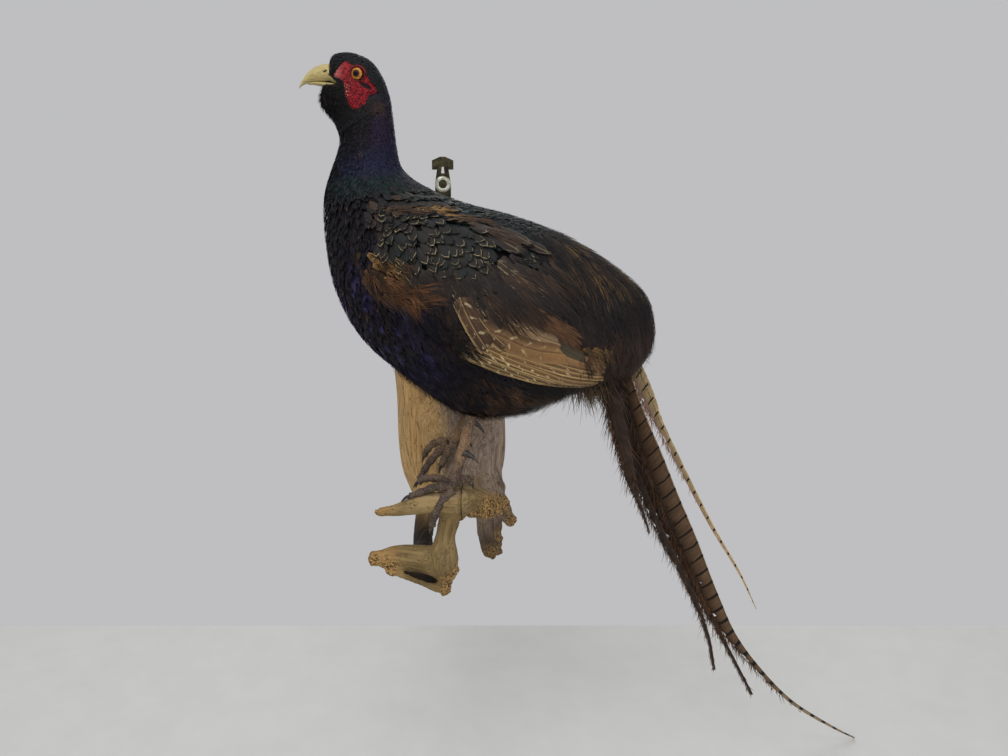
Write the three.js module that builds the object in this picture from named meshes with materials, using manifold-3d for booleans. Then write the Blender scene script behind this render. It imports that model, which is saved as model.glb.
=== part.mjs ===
// A life-size cock pheasant of the dark (melanistic) form, mounted on driftwood that hangs on a wall.
// Millimetres, +Z up. The wall is the plane Y = 0 and the model lies in front of it, at Y < 0.
// The bird faces -X and its left side faces -Y. The origin is on the driftwood's flat back.

import * as THREE from "three";
import { mergeVertices } from "three/addons/utils/BufferGeometryUtils.js";
import Module from "manifold-3d";

const wasm = await Module();
wasm.setup();

// ---- driving dimensions -------------------------------------------------------------------------

const MID_Y = -200; // the bird's middle plane, in front of the wall
const GAP = 0.4; // clearance between pieces that touch
const BODY_SIDES = 18; // points round the body

// Stations of the head, neck, trunk and rump, from the bill to the root of the tail. Each is a plane
// section through the throat or belly line (low) and the crown or back line (high), given as [x, z],
// with its half width.
const STATIONS = [
  { low: [-85, 326], high: [-80, 348.5], half: 8.2 }, // root of the bill
  { low: [-88.5, 321.5], high: [-76, 353], half: 11.5 }, // forehead and chin
  { low: [-90, 316], high: [-66, 354.5], half: 14 }, // crown
  { low: [-89.5, 311.5], high: [-54.5, 352], half: 16 }, // eyes and throat
  { low: [-86, 306.5], high: [-43.5, 345.5], half: 17 },
  { low: [-80.5, 300], high: [-35, 332], half: 17.5 }, // nape
  { low: [-76.5, 291], high: [-30, 315.5], half: 17.5 },
  { low: [-75, 282], high: [-27.8, 296], half: 18 }, // narrowest neck
  { low: [-78, 270.5], high: [-26, 277], half: 20 },
  { low: [-84, 255.5], high: [-21, 258.5], half: 25 }, // lower neck
  { low: [-90, 235], high: [-2, 244], half: 38 }, // shoulders
  { low: [-91, 205], high: [33, 230], half: 54 }, // breast
  { low: [-84, 154], high: [74, 215.5], half: 63 },
  { low: [-61, 109], high: [115, 196], half: 69 },
  { low: [-19, 71], high: [155, 172], half: 70 }, // widest
  { low: [30, 38.5], high: [189, 147], half: 62 }, // belly
  { low: [73, 37], high: [202, 121], half: 47 }, // vent and rump
  { low: [104, 48], high: [199.5, 100], half: 33 }, // tail coverts
  { low: [129, 63], high: [189, 86], half: 21 }, // root of the tail
];
// The named pieces of the body: the stations each runs between and the rings it is drawn with.
const BODY_PIECES = {
  head: { from: 0, to: 5.6, rings: 11, finish: "plumage" },
  neck: { from: 5.6, to: 9.7, rings: 7, finish: "plumage" },
  trunk: { from: 9.7, to: 15.2, rings: 12, finish: "plumage" },
  rump: { from: 15.2, to: 18, rings: 7, finish: "brown" },
};

const EYE_CENTRE = [-54.9, 335]; // x and z
const EYE_OUT = 10.8; // centre of the eyeball, from the middle plane
const EYE_RADIUS = 6.2;

// Sections of the two halves of the bill, from inside the face to the tip:
// [x, upper edge, lower edge, half width].
const BILL_UPPER = [
  [-76, 342, 332, 4.5],
  [-82, 345.5, 330.4, 6.2],
  [-89, 344.2, 331.7, 5.6],
  [-96, 341, 331.9, 4.6],
  [-102, 336.5, 329.8, 3.2],
  [-106, 331.8, 327.2, 2],
  [-108, 327, 325.4, 0.8],
];
const BILL_LOWER = [
  [-77, 329.4, 326, 4],
  [-83, 330, 326.2, 5.2],
  [-89, 331, 327.2, 4.7],
  [-95, 331.4, 328.4, 3.7],
  [-101, 329.8, 328.6, 1.9],
];

// Stations of the folded wing, from the wrist to the tips: its lower and upper edge as [x, z], and how
// far its outer face stands off the body.
const WING = [
  { low: [-45, 172], high: [-38, 194], lift: 3 }, // wrist
  { low: [-34, 146], high: [-5, 216], lift: 9 },
  { low: [0, 126], high: [38, 214], lift: 12 },
  { low: [36, 106], high: [80, 198], lift: 12 },
  { low: [75, 88], high: [115, 168], lift: 11 },
  { low: [116, 78], high: [142, 128], lift: 9 },
  { low: [148, 77], high: [158, 96], lift: 5 }, // tips
];

// Tail feathers: shaft as [x, y, z] points, greatest half width of the vane, and how far the vane is
// turned about the shaft out of the upright, in degrees. The left feathers slope down to the left, as
// one side of a roof.
const VANE_THICK = 1.2;
const TAIL = {
  tail_1_central: {
    shaft: [
      [174, -202, 95], [187, -203, 42], [215, -204, -26], [249, -204, -92], [273, -204, -146],
      [294, -204, -188], [322, -203, -226], [360, -202, -266], [409, -201, -299], [430, -201, -310],
    ],
    half: 10.5,
    turn: 30,
  },
  tail_2_central: {
    shaft: [
      [172, -197, 92], [186, -197, 33], [213, -197, -42], [246, -197, -112], [273, -198, -169],
      [304, -199, -228], [321, -200, -260],
    ],
    half: 9,
    turn: 24,
  },
  tail_3_outer: {
    shaft: [
      [167, -208, 92], [177, -209, 43], [201, -210, -24], [229, -210, -87], [254, -209, -140],
      [270, -208, -189], [279, -207, -227],
    ],
    half: 8.5,
    turn: 30,
  },
  tail_4_outer: {
    shaft: [[162, -213, 90], [170, -215, 44], [185, -216, -17], [206, -215, -76]],
    half: 7.5,
    turn: 30,
  },
  tail_5_barred: {
    shaft: [
      [178, -190, 103], [197, -189, 71], [212, -188, 36], [235, -188, -16], [269, -188, -79],
      [304, -188, -136], [323, -188, -171],
    ],
    half: 6.2,
    turn: 15,
  },
  tail_6_outer: {
    shaft: [[158, -218, 88], [168, -220, 46], [179, -221, 6], [193, -221, -34]],
    half: 7,
    turn: 34,
  },
  tail_7_far: {
    shaft: [[168, -184, 92], [181, -183, 38], [200, -183, -18], [226, -183, -82]],
    half: 8.5,
    turn: -24,
  },
  tail_8_far: {
    shaft: [[162, -178, 90], [174, -176, 40], [190, -175, -10], [210, -175, -60]],
    half: 7.5,
    turn: -30,
  },
};
const UNDERTAIL = [[136, -200, 76], [145, -202, 58], [150, -204, 33]]; // the tuft under the root of the tail

// Legs. hock is where the bare leg leaves the feathers, hub the ball of the foot. Each toe runs from the
// hub to the root of its claw, and the claw's tip is given apart.
const LEGS = {
  left: {
    thigh: [[50, -224, 66], [45, -225, 54], [40, -226, 36]],
    hock: [40, -226, 41],
    hub: [22, -226, -23],
    shin: 5.6,
    spur: [[31, -228, 8], [39, -231, 5], [45, -233, -1]],
    toes: {
      middle: {
        path: [[18, -229, -25], [7, -233, -23], [-6, -234, -27], [-18, -234, -32]],
        claw: [-30, -233, -39],
      },
      inner: {
        path: [[20, -231, -27], [11, -237, -35], [5, -241, -47], [2, -243, -57]],
        claw: [-1, -244, -67],
      },
      outer: {
        path: [[16, -223, -24], [6, -221, -19], [-5, -219, -19], [-14, -219, -25]],
        claw: [-22, -219, -33],
      },
      hind: {
        path: [[26, -224, -22], [33, -222, -20], [38, -221, -23]],
        claw: [42, -221, -31],
      },
    },
  },
  right: {
    thigh: [[42, -172, 70], [37, -172, 56], [32, -171, 38]],
    hock: [33, -171, 43],
    hub: [17, -169, 2],
    shin: 5.4,
    spur: [[27, -172, 24], [38, -174, 20], [47, -175, 12]],
    toes: {
      outer: {
        path: [[12, -167, 0], [3, -165, -1], [-6, -165, -6], [-12, -167, -15]],
        claw: [-15, -168, -25],
      },
      middle: {
        path: [[11, -172, -2], [2, -178, -9], [-8, -182, -21], [-15, -186, -33]],
        claw: [-20, -189, -44],
      },
      inner: {
        path: [[14, -175, -3], [10, -181, -12], [6, -185, -20]],
        claw: [3, -187, -30],
      },
      hind: {
        path: [[22, -167, 1], [28, -164, 0], [32, -162, -3]],
        claw: [37, -161, -10],
      },
    },
  },
};
const TOE_ROOT = 3.9; // radii of a toe at its root and its tip
const TOE_TIP = 2.7;
const CLAW_ROOT = 2.1;

// Driftwood: each limb is a path of [x, y, z, radius] points.
const WOOD_SIDES = 10;
const TRUNK_DEPTH = 0.76; // the trunk's depth from front to back, as a share of its width
const FLUTES = 0.07; // depth of the wood's long grooves, as a share of the radius
const TRUNK_WOOD = [
  [-1, -14, 208, 32], [-1, -22, 170, 42], [0, -29, 110, 53], [2, -34, 47, 61], [5, -36, -12, 59],
  [6, -36, -60, 56], [7, -34, -92, 53], [9, -32, -120, 41],
];
const LIMBS = {
  buttress: [
    [18, -50, 6, 50], [22, -92, -12, 46], [25, -130, -25, 36], [27, -168, -32, 27], [28, -195, -37, 21],
    [27, -222, -42, 13], [26, -236, -44, 7],
  ],
  spur: [
    [32, -222, -42, 12], [16, -229, -40, 11], [0, -232, -39, 9.8], [-16, -233, -41.5, 9.3],
    [-31, -233, -45.5, 7.3], [-46, -232, -47.5, 5], [-54, -231, -48.4, 3],
  ],
  limb: [
    [27, -221, -42, 13], [19, -225, -53, 11.5], [14.5, -227, -66, 9.8], [12, -226, -80, 9.8],
    [10.5, -224, -95, 13], [11.5, -221, -109, 14], [12, -219, -121, 11], [12, -217, -133, 6],
    [13.5, -217, -139, 3],
  ],
  foot: [
    [14, -218, -107, 15], [-8, -214, -105, 16], [-25, -213, -104.5, 14.5], [-38, -213, -103.5, 12],
    [-51, -214, -103, 8.8], [-62, -215, -102.5, 4.5],
  ],
  bridge: [
    [-12, -56, -84, 22], [-19, -96, -107, 13], [-20, -120, -121, 11], [-17, -152, -122, 11],
    [-12, -188, -112, 12], [-8, -212, -106, 12],
  ],
  burl: [[28, -208, -43, 15], [44, -194, -54, 15], [58, -180, -61, 12], [68, -170, -63, 8]],
  root: [[44, -50, -82, 22], [60, -66, -102, 15], [71, -76, -117, 11], [78, -80, -126, 6]],
  stub: [[46, -46, -92, 24], [50, -62, -126, 16.5], [52, -69, -152, 14.5], [56, -70, -169, 10]],
};
// The rotted channel under the foot.
const HOLLOW = [[-46, -222, -117, 3], [-24, -222, -121, 7], [-4, -220, -124, 7]];

const HANGER_CENTRE = [-1.5, 252]; // x and z of the hanger's ring, above the wood
const HANGER_TOP = 282;
const HANGER_BOTTOM = 172;
const HANGER_THICK = 2.4;
const RING_OUTER = 9;
const RING_INNER = 4.2;

const COLOURS = {
  plumage: [0x1d1a20, 0.55, 0],
  brown: [0x3a2a1e, 0.7, 0],
  horn: [0xb9a765, 0.4, 0],
  eye: [0xa05a1c, 0.08, 0],
  vane: [0x6b4f36, 0.7, 0],
  scale: [0x5a4d45, 0.65, 0],
  claw: [0x2c2622, 0.45, 0],
  wood: [0x9c8358, 0.85, 0],
  metal: [0x8a8048, 0.4, 0.9],
  ring: [0xc9c8a4, 0.35, 0.6],
};

// ---- solids -------------------------------------------------------------------------------------

const vec = (p) => new THREE.Vector3(...p);

// Closes a stack of rings, each with the same number of points, into one solid with a flat fan at
// either end.
function loft(rings) {
  const sides = rings[0].length;
  const points = rings.flat();
  const faces = [];
  for (let r = 0; r + 1 < rings.length; r++)
    for (let i = 0; i < sides; i++) {
      const [a, b] = [r * sides + i, r * sides + ((i + 1) % sides)];
      faces.push(a, b, a + sides, b, b + sides, a + sides);
    }
  for (const [ring, start] of [[rings[0], 0], [rings.at(-1), (rings.length - 1) * sides]]) {
    const centre = points.push(ring.reduce((sum, p) => sum.clone().add(p)).divideScalar(sides)) - 1;
    for (let i = 0; i < sides; i++) {
      const [a, b] = [start + i, start + ((i + 1) % sides)];
      faces.push(...(start ? [a, b, centre] : [b, a, centre]));
    }
  }
  const geometry = new THREE.BufferGeometry().setFromPoints(points);
  geometry.setIndex(faces);
  return outward(geometry);
}

// Six times the signed volume of an indexed geometry.
function signedVolume(geometry) {
  const at = geometry.getAttribute("position");
  const [a, b, c] = [new THREE.Vector3(), new THREE.Vector3(), new THREE.Vector3()];
  let sum = 0;
  for (let i = 0; i < geometry.index.count; i += 3) {
    a.fromBufferAttribute(at, geometry.index.getX(i));
    b.fromBufferAttribute(at, geometry.index.getX(i + 1));
    c.fromBufferAttribute(at, geometry.index.getX(i + 2));
    sum += a.dot(b.cross(c));
  }
  return sum;
}

function outward(geometry) {
  if (signedVolume(geometry) < 0) geometry.index.array.reverse();
  return geometry;
}

function toSolid(geometry) {
  const bare = geometry.clone();
  for (const name of ["normal", "uv"]) bare.deleteAttribute(name);
  const merged = mergeVertices(bare, 1e-4);
  return new wasm.Manifold(
    new wasm.Mesh({
      numProp: 3,
      vertProperties: merged.getAttribute("position").array,
      triVerts: new Uint32Array(merged.index.array),
    }),
  );
}

function toGeometry(solid) {
  const { vertProperties, triVerts } = solid.getMesh();
  const geometry = new THREE.BufferGeometry();
  geometry.setAttribute("position", new THREE.BufferAttribute(vertProperties, 3));
  geometry.setIndex(new THREE.BufferAttribute(triVerts, 1));
  return geometry;
}

// Cuts the others away and keeps the largest body that is left.
function clearOf(solid, others) {
  const cut = others.reduce((left, other) => left.subtract(other), solid);
  return cut.decompose().reduce((best, body) => (body.volume() > best.volume() ? body : best));
}

// Catmull-Rom interpolation through a list of numbers.
function through(values, t) {
  const last = values.length - 1;
  const i = Math.min(Math.floor(t), last - 1);
  const f = t - i;
  const [a, b, c, d] = [i - 1, i, i + 1, i + 2].map((k) => values[Math.max(0, Math.min(last, k))]);
  return b + 0.5 * f * (c - a + f * (2 * a - 5 * b + 4 * c - d + f * (3 * (b - c) + d - a)));
}

// ---- head, neck, trunk and rump -----------------------------------------------------------------

const lowX = STATIONS.map((s) => s.low[0]);
const lowZ = STATIONS.map((s) => s.low[1]);
const highX = STATIONS.map((s) => s.high[0]);
const highZ = STATIONS.map((s) => s.high[1]);
const halves = STATIONS.map((s) => s.half);

// The middle, upward direction, half depth and half width of the body's section at station t.
function section(t) {
  const low = new THREE.Vector2(through(lowX, t), through(lowZ, t));
  const high = new THREE.Vector2(through(highX, t), through(highZ, t));
  return {
    middle: low.clone().add(high).multiplyScalar(0.5),
    up: high.clone().sub(low).normalize(),
    depth: high.distanceTo(low) / 2,
    half: through(halves, t),
  };
}

// One ring of the body at station t, larger all round by grow.
function bodyRing(t, grow) {
  const { middle, up, depth, half } = section(t);
  return Array.from({ length: BODY_SIDES }, (_, i) => {
    const angle = (2 * Math.PI * (i + 0.5)) / BODY_SIDES;
    const rise = (depth + grow) * Math.cos(angle);
    const out = (half + grow) * Math.sin(angle);
    return new THREE.Vector3(middle.x + up.x * rise, MID_Y + out, middle.y + up.y * rise);
  });
}

// The body's half width at a point of the side view, found on the section that passes through it.
function bodyHalfAt(x, z) {
  const point = new THREE.Vector2(x, z);
  let [from, to] = [9, STATIONS.length - 1];
  for (let i = 0; i < 30; i++) {
    const t = (from + to) / 2;
    const { middle, up } = section(t);
    const ahead = up.cross(point.clone().sub(middle)) > 0;
    [from, to] = ahead ? [from, t] : [t, to];
  }
  const { middle, up, depth, half } = section(from);
  const rise = Math.min(0.99, Math.abs(up.dot(point.sub(middle))) / depth);
  return half * Math.sqrt(1 - rise * rise);
}

// The stations of a piece's rings. Its two ends are drawn in, so that neighbours keep a gap.
function ringStations({ from, to, rings }) {
  const inset = 0.008;
  const step = (to - from - 2 * inset) / (rings - 1);
  return Array.from({ length: rings }, (_, i) => from + inset + step * i);
}

const bodyPiece = (piece) => loft(ringStations(piece).map((t) => bodyRing(t, 0)));
const allStations = Object.values(BODY_PIECES).flatMap(ringStations);
const grownBody = toSolid(loft(allStations.map((t) => bodyRing(t, GAP))));

// ---- bill and eyes ------------------------------------------------------------------------------

// One half of the bill, from its table of sections.
function mandible(rows, grow = 0) {
  const sides = 10;
  const steps = 7;
  const rings = [];
  for (let i = 0; i <= steps; i++) {
    const t = ((rows.length - 1) * i) / steps;
    const [x, top, bottom, half] = [0, 1, 2, 3].map((k) => through(rows.map((row) => row[k]), t));
    rings.push(
      Array.from({ length: sides }, (_, k) => {
        const angle = (2 * Math.PI * k) / sides;
        const rise = ((top - bottom) / 2 + grow) * Math.cos(angle);
        return new THREE.Vector3(x, MID_Y + (half + grow) * Math.sin(angle), (top + bottom) / 2 + rise);
      }),
    );
  }
  return loft(rings);
}

function eyeball(side, grow = 0) {
  const ball = new THREE.SphereGeometry(EYE_RADIUS + grow, 12, 8);
  ball.translate(EYE_CENTRE[0], MID_Y + side * EYE_OUT, EYE_CENTRE[1]);
  return ball;
}

// ---- tubes: legs, toes, claws and wood ----------------------------------------------------------

// A round limb along a path. radiusAt gives its radius at a share of its length, and squash narrows it
// along Y.
function tube(points, radiusAt, sides, steps, squash = 1) {
  const curve = new THREE.CatmullRomCurve3(points, false, "centripetal");
  const frames = curve.computeFrenetFrames(steps, false);
  const rings = [];
  for (let i = 0; i <= steps; i++) {
    const centre = curve.getPointAt(i / steps);
    rings.push(
      Array.from({ length: sides }, (_, k) => {
        const angle = (2 * Math.PI * k) / sides;
        const out = frames.normals[i]
          .clone()
          .multiplyScalar(Math.cos(angle))
          .addScaledVector(frames.binormals[i], Math.sin(angle))
          .multiplyScalar(radiusAt(i / steps, angle));
        out.y *= squash;
        return centre.clone().add(out);
      }),
    );
  }
  return loft(rings);
}

// Rounds the two ends of a tube of even radius.
function roundEnds(share, sharp) {
  return Math.sqrt(Math.min(1, 0.12 + sharp * share) * Math.min(1, 0.12 + sharp * (1 - share)));
}

function leg({ hock, hub, shin }, grow) {
  const points = [vec(hock), vec(hock).lerp(vec(hub), 0.5).add(new THREE.Vector3(1.2, 0, 0)), vec(hub)];
  const ball = (share) => 1.5 * Math.exp(-Math.pow((share - 0.96) / 0.09, 2));
  const radiusAt = (share) => (shin * (1 - 0.2 * share) + ball(share)) * (share > 0.99 ? 0.75 : 1);
  return tube(points, (share) => radiusAt(share) + grow, 8, 7);
}

function toe({ path }, grow) {
  const bulge = (share) => 0.35 * Math.cos(share * path.length * 2 * Math.PI);
  return tube(
    path.map(vec),
    (share) => (TOE_ROOT + (TOE_TIP - TOE_ROOT) * share + bulge(share)) * roundEnds(share, 20) + grow,
    7,
    5,
  );
}

function claw({ path, claw: tip }, grow) {
  const [before, root] = path.slice(-2).map(vec);
  const start = root.clone().lerp(before, 0.02);
  const middle = start.clone().lerp(vec(tip), 0.5).add(new THREE.Vector3(0, 0, 1.2));
  const radiusAt = (share) => CLAW_ROOT * Math.pow(1 - 0.88 * share, 0.8) + grow;
  return tube([start, middle, vec(tip)], radiusAt, 6, 4);
}

function spurOf({ spur }, grow) {
  const radiusAt = (share) => 3 * Math.pow(1 - 0.86 * share, 0.9) + grow;
  return tube(spur.map(vec), radiusAt, 6, 4);
}

function thighOf({ thigh }, grow) {
  return tube(thigh.map(vec), (share) => (12 - 5.5 * share) * roundEnds(share, 9) + grow, 8, 4);
}

// ---- wings --------------------------------------------------------------------------------------

function wing(side, grow = 0) {
  const steps = 13;
  const across = 7;
  const rings = [];
  for (let i = 0; i <= steps; i++) {
    const t = ((WING.length - 1) * i) / steps;
    const edge = (key) => new THREE.Vector2(...[0, 1].map((k) => through(WING.map((s) => s[key][k]), t)));
    const lift = through(WING.map((s) => s.lift), t) + grow;
    const point = (v, standsOff) => {
      const at = edge("low").lerp(edge("high"), v);
      const swell = Math.sqrt(Math.max(0, 1 - Math.pow(2 * v - 1, 4)));
      return new THREE.Vector3(at.x, MID_Y + side * (bodyHalfAt(at.x, at.y) + standsOff(swell)), at.y);
    };
    const shares = Array.from({ length: across }, (_, k) => k / (across - 1));
    rings.push([
      ...shares.map((v) => point(v, (swell) => 1 + lift * swell)),
      ...shares.reverse().map((v) => point(v, () => -5)),
    ]);
  }
  return loft(rings);
}

// ---- tail ---------------------------------------------------------------------------------------

// Half width of a vane along its shaft: it opens at the root, stays broad and draws out to a thin tip.
const vaneShape = (share) => Math.min(1, 0.35 + 5 * share) * Math.pow(1 - 0.94 * share, 0.9);

function vane({ shaft, half, turn }, grow = 0) {
  const steps = 12;
  const curve = new THREE.CatmullRomCurve3(shaft.map(vec), false, "centripetal");
  const tilt = THREE.MathUtils.degToRad(turn);
  const rings = [];
  for (let i = 0; i <= steps; i++) {
    const centre = curve.getPointAt(i / steps);
    const along = curve.getTangentAt(i / steps);
    const sideways = new THREE.Vector3(0, 1, 0);
    const across = along.clone().cross(sideways).normalize().applyAxisAngle(along, tilt);
    const face = along.clone().cross(across).normalize();
    const width = half * vaneShape(i / steps) + grow;
    const thick = (VANE_THICK / 2) * (1 - 0.45 * (i / steps)) + grow;
    const section = [[-1, 0], [-0.4, 1], [0.4, 1], [1, 0], [0.4, -1], [-0.4, -1]];
    across.multiplyScalar(width);
    face.multiplyScalar(thick);
    rings.push(section.map(([u, v]) => centre.clone().addScaledVector(across, u).addScaledVector(face, v)));
  }
  return loft(rings);
}

// ---- driftwood and hanger -----------------------------------------------------------------------

function limbOf(rows, flat = 1) {
  const radii = rows.map((row) => row[3]);
  const steps = Math.ceil(1.6 * (rows.length - 1));
  const fluting = (share, angle) => 1 + FLUTES * Math.sin(3 * angle + 5 * share) * Math.cos(5 * angle - 2);
  const radiusAt = (share, angle) => through(radii, share * (rows.length - 1)) * fluting(share, angle);
  return toSolid(tube(rows.map((row) => vec(row.slice(0, 3))), radiusAt, WOOD_SIDES, steps, flat));
}

function driftwood(cutters) {
  const wall = new THREE.BoxGeometry(400, 200, 800);
  wall.translate(0, 100, 0);
  const trunk = limbOf(TRUNK_WOOD, TRUNK_DEPTH);
  const joined = Object.values(LIMBS).reduce((sum, rows) => sum.add(limbOf(rows)), trunk);
  return clearOf(joined, [limbOf(HOLLOW), toSolid(wall), ...cutters]);
}

// A flat piece with the given outline of [x, z] points, lying between two depths in front of the wall.
function flat(outline, front, back) {
  const ring = (y) => outline.map(([x, z]) => new THREE.Vector3(x, -y, z));
  return toSolid(loft([ring(front), ring(back)]));
}

// The hanger: a strap with a wide head and a keyhole slot, let into the back of the wood.
function hangerPlate(grow = 0) {
  const [cx, cz] = HANGER_CENTRE;
  const [low, high] = [HANGER_TOP - 14, HANGER_TOP - 4];
  const strap = [
    [9, cz], [6.5, low], [3, high], [-3, high], [-6.5, low], [-9, cz],
    [-8, HANGER_BOTTOM], [8, HANGER_BOTTOM],
  ];
  const head = [[12, low], [12, high], [3, HANGER_TOP], [-3, HANGER_TOP], [-12, high], [-12, low]];
  const slot = [[1.8, low - 4], [1.2, low + 3], [-1.2, low + 3], [-1.8, low - 4]];
  const swell = ([x, z]) => [cx + x + grow * Math.sign(x), z + grow * Math.sign(z - cz)];
  const wide = (outline) => outline.map(swell);
  const back = grow ? -1 : 0.6;
  const front = 0.6 + HANGER_THICK + grow;
  const plate = flat(wide(strap), front, back).add(flat(wide(head), front, back));
  return grow ? plate : plate.subtract(flat(slot.map(([x, z]) => [cx + x, z]), front + 1, back - 1));
}

function hangerRing() {
  const [cx, cz] = HANGER_CENTRE;
  const y = -0.6 - HANGER_THICK - GAP;
  const profile = [
    [RING_INNER, 0], [RING_OUTER, 0], [RING_OUTER, 1.2], [RING_OUTER - 1.6, 2.6], [RING_INNER + 0.6, 2.6],
    [RING_INNER, 1.8], [RING_INNER, 0],
  ];
  const ring = new THREE.LatheGeometry(profile.map(([r, h]) => new THREE.Vector2(r, h)), 16);
  ring.rotateX(Math.PI);
  ring.translate(cx, y, cz);
  return ring;
}

function hangerScrew() {
  const [cx, cz] = HANGER_CENTRE;
  const head = new THREE.CylinderGeometry(RING_INNER - GAP, RING_INNER - GAP, 3.2, 12);
  head.translate(cx, -0.6 - HANGER_THICK - GAP - 1.6, cz);
  return head;
}

// ---- assembly -----------------------------------------------------------------------------------

const pheasant = new THREE.Group();

function add(name, source, finish) {
  const [color, roughness, metalness] = COLOURS[finish];
  const geometry = source.isBufferGeometry ? source : toGeometry(source);
  const mesh = new THREE.Mesh(geometry, new THREE.MeshStandardMaterial({ color, roughness, metalness }));
  mesh.name = name;
  pheasant.add(mesh);
}

const eyes = [-1, 1].map((side) => toSolid(eyeball(side, GAP)));
const bills = [BILL_UPPER, BILL_LOWER].map((rows) => toSolid(mandible(rows, GAP)));

for (const [name, piece] of Object.entries(BODY_PIECES))
  add(name, clearOf(toSolid(bodyPiece(piece)), [...eyes, ...bills]), piece.finish);
add("bill_upper", mandible(BILL_UPPER), "horn");
add("bill_lower", clearOf(toSolid(mandible(BILL_LOWER)), [bills[0]]), "horn");
add("eye_left", eyeball(-1), "eye");
add("eye_right", eyeball(1), "eye");
add("wing_left", clearOf(toSolid(wing(-1)), [grownBody]), "brown");
add("wing_right", clearOf(toSolid(wing(1)), [grownBody]), "brown");

const grownWings = [-1, 1].map((side) => toSolid(wing(side, GAP)));
const placedTail = [grownBody, ...grownWings];
for (const [name, feather] of Object.entries(TAIL)) {
  add(name, clearOf(toSolid(vane(feather)), placedTail), "vane");
  placedTail.push(toSolid(vane(feather, GAP)));
}
const tuft = tube(UNDERTAIL.map(vec), (share) => (9 - 4 * share) * roundEnds(share, 8), 8, 5);
add("undertail_tuft", clearOf(toSolid(tuft), placedTail), "brown");

const footing = [];
for (const [side, limb] of Object.entries(LEGS)) {
  const placed = [grownBody];
  const place = (name, make, finish) => {
    add(name, clearOf(toSolid(make(0)), placed), finish);
    placed.push(toSolid(make(GAP)));
  };
  place(`leg_${side}`, (grow) => leg(limb, grow), "scale");
  place(`thigh_${side}`, (grow) => thighOf(limb, grow), "brown");
  place(`spur_${side}`, (grow) => spurOf(limb, grow), "claw");
  for (const [digit, rows] of Object.entries(limb.toes)) {
    place(`toe_${side}_${digit}`, (grow) => toe(rows, grow), "scale");
    place(`claw_${side}_${digit}`, (grow) => claw(rows, grow), "claw");
  }
  footing.push(...placed.slice(1));
}

add("driftwood", driftwood([...footing, hangerPlate(GAP), grownBody]), "wood");
add("hanger_plate", hangerPlate(), "metal");
add("hanger_ring", hangerRing(), "ring");
add("hanger_screw", hangerScrew(), "metal");

export default pheasant;
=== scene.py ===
# The looks of a mounted cock pheasant of the dark form, on driftwood that hangs on a wall.
# Tables are in millimetres and become metres where a mesh is made. The wall is the plane Y = 0, the
# bird faces -X and its left side faces -Y. Angles round the body run from the back line, 0, to the
# belly line, and are negative on the bird's left.
import itertools
import math

import bmesh
import bpy
import numpy as np
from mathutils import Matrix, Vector


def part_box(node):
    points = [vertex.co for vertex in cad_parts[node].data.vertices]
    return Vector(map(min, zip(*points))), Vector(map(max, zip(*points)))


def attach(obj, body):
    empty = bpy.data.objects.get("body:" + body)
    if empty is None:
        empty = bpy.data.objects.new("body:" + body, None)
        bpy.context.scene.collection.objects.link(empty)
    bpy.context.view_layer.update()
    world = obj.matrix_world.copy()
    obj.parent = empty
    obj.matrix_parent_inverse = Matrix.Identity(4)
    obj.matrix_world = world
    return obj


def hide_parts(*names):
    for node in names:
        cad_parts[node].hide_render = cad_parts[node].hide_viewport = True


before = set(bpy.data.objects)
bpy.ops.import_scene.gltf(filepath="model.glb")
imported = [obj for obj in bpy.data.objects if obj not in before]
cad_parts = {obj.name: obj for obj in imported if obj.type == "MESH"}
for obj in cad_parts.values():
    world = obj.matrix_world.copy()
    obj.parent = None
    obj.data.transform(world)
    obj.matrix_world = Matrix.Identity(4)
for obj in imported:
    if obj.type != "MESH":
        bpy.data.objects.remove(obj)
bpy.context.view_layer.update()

MM = 0.001
PI = math.pi
MID_Y = -200.0
SIDES = {"left": -1, "right": 1}

# ---- sizes of the body ----

# Stations from the root of the bill to the root of the tail: the throat or belly line, the crown or
# back line, each as x and z, and the half width.
STATIONS = np.array([
    [-85, 326, -80, 348.5, 6.8], [-88.5, 321.5, -76, 353, 8.6], [-90, 316, -66, 354.5, 11.8],
    [-89.5, 311.5, -54.5, 352, 15.2], [-86, 306.5, -43.5, 345.5, 17], [-80.5, 300, -35, 332, 17.5],
    [-76.5, 291, -30, 315.5, 17.5], [-75, 282, -27.8, 296, 18], [-78, 270.5, -26, 277, 20],
    [-84, 255.5, -21, 258.5, 25], [-90, 235, -2, 244, 38], [-91, 205, 33, 230, 54],
    [-84, 154, 74, 219.5, 63], [-61, 109, 116, 204, 69], [-19, 71, 158, 180, 70],
    [30, 38.5, 193, 151, 62], [73, 39.5, 203, 122, 47], [104, 52.5, 200.5, 100, 33],
    [129, 67, 190, 86, 21],
])
LAST = len(STATIONS) - 1
NECK_ROOT = 9.0  # the station where the neck meets the trunk
COAT_DEPTH = ([0, 2, 5, 7, 10, 14, 18], [0.7, 0.8, 1.4, 2.4, 4.5, 6.5, 6])  # station, mm

EYE = np.array([-54.9, 335.0])
EYE_OUT = 10.8
EYE_RADIUS = 6.2
IRIS = 5.1
WATTLE = [
    [-65.3, 346.2], [-60.6, 343.2], [-55.5, 340.9], [-49.6, 338.6], [-46.6, 332.5], [-42.5, 327.0],
    [-37.9, 322.2], [-41.5, 319.3], [-46.5, 317.9], [-48.5, 311.0], [-52.8, 306.8], [-58.0, 306.2],
    [-62.3, 309.6], [-65.9, 315.7], [-66.6, 324.6], [-68.5, 330.2], [-75.1, 333.0], [-73.3, 337.5],
    [-70.2, 341.2],
]
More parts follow.
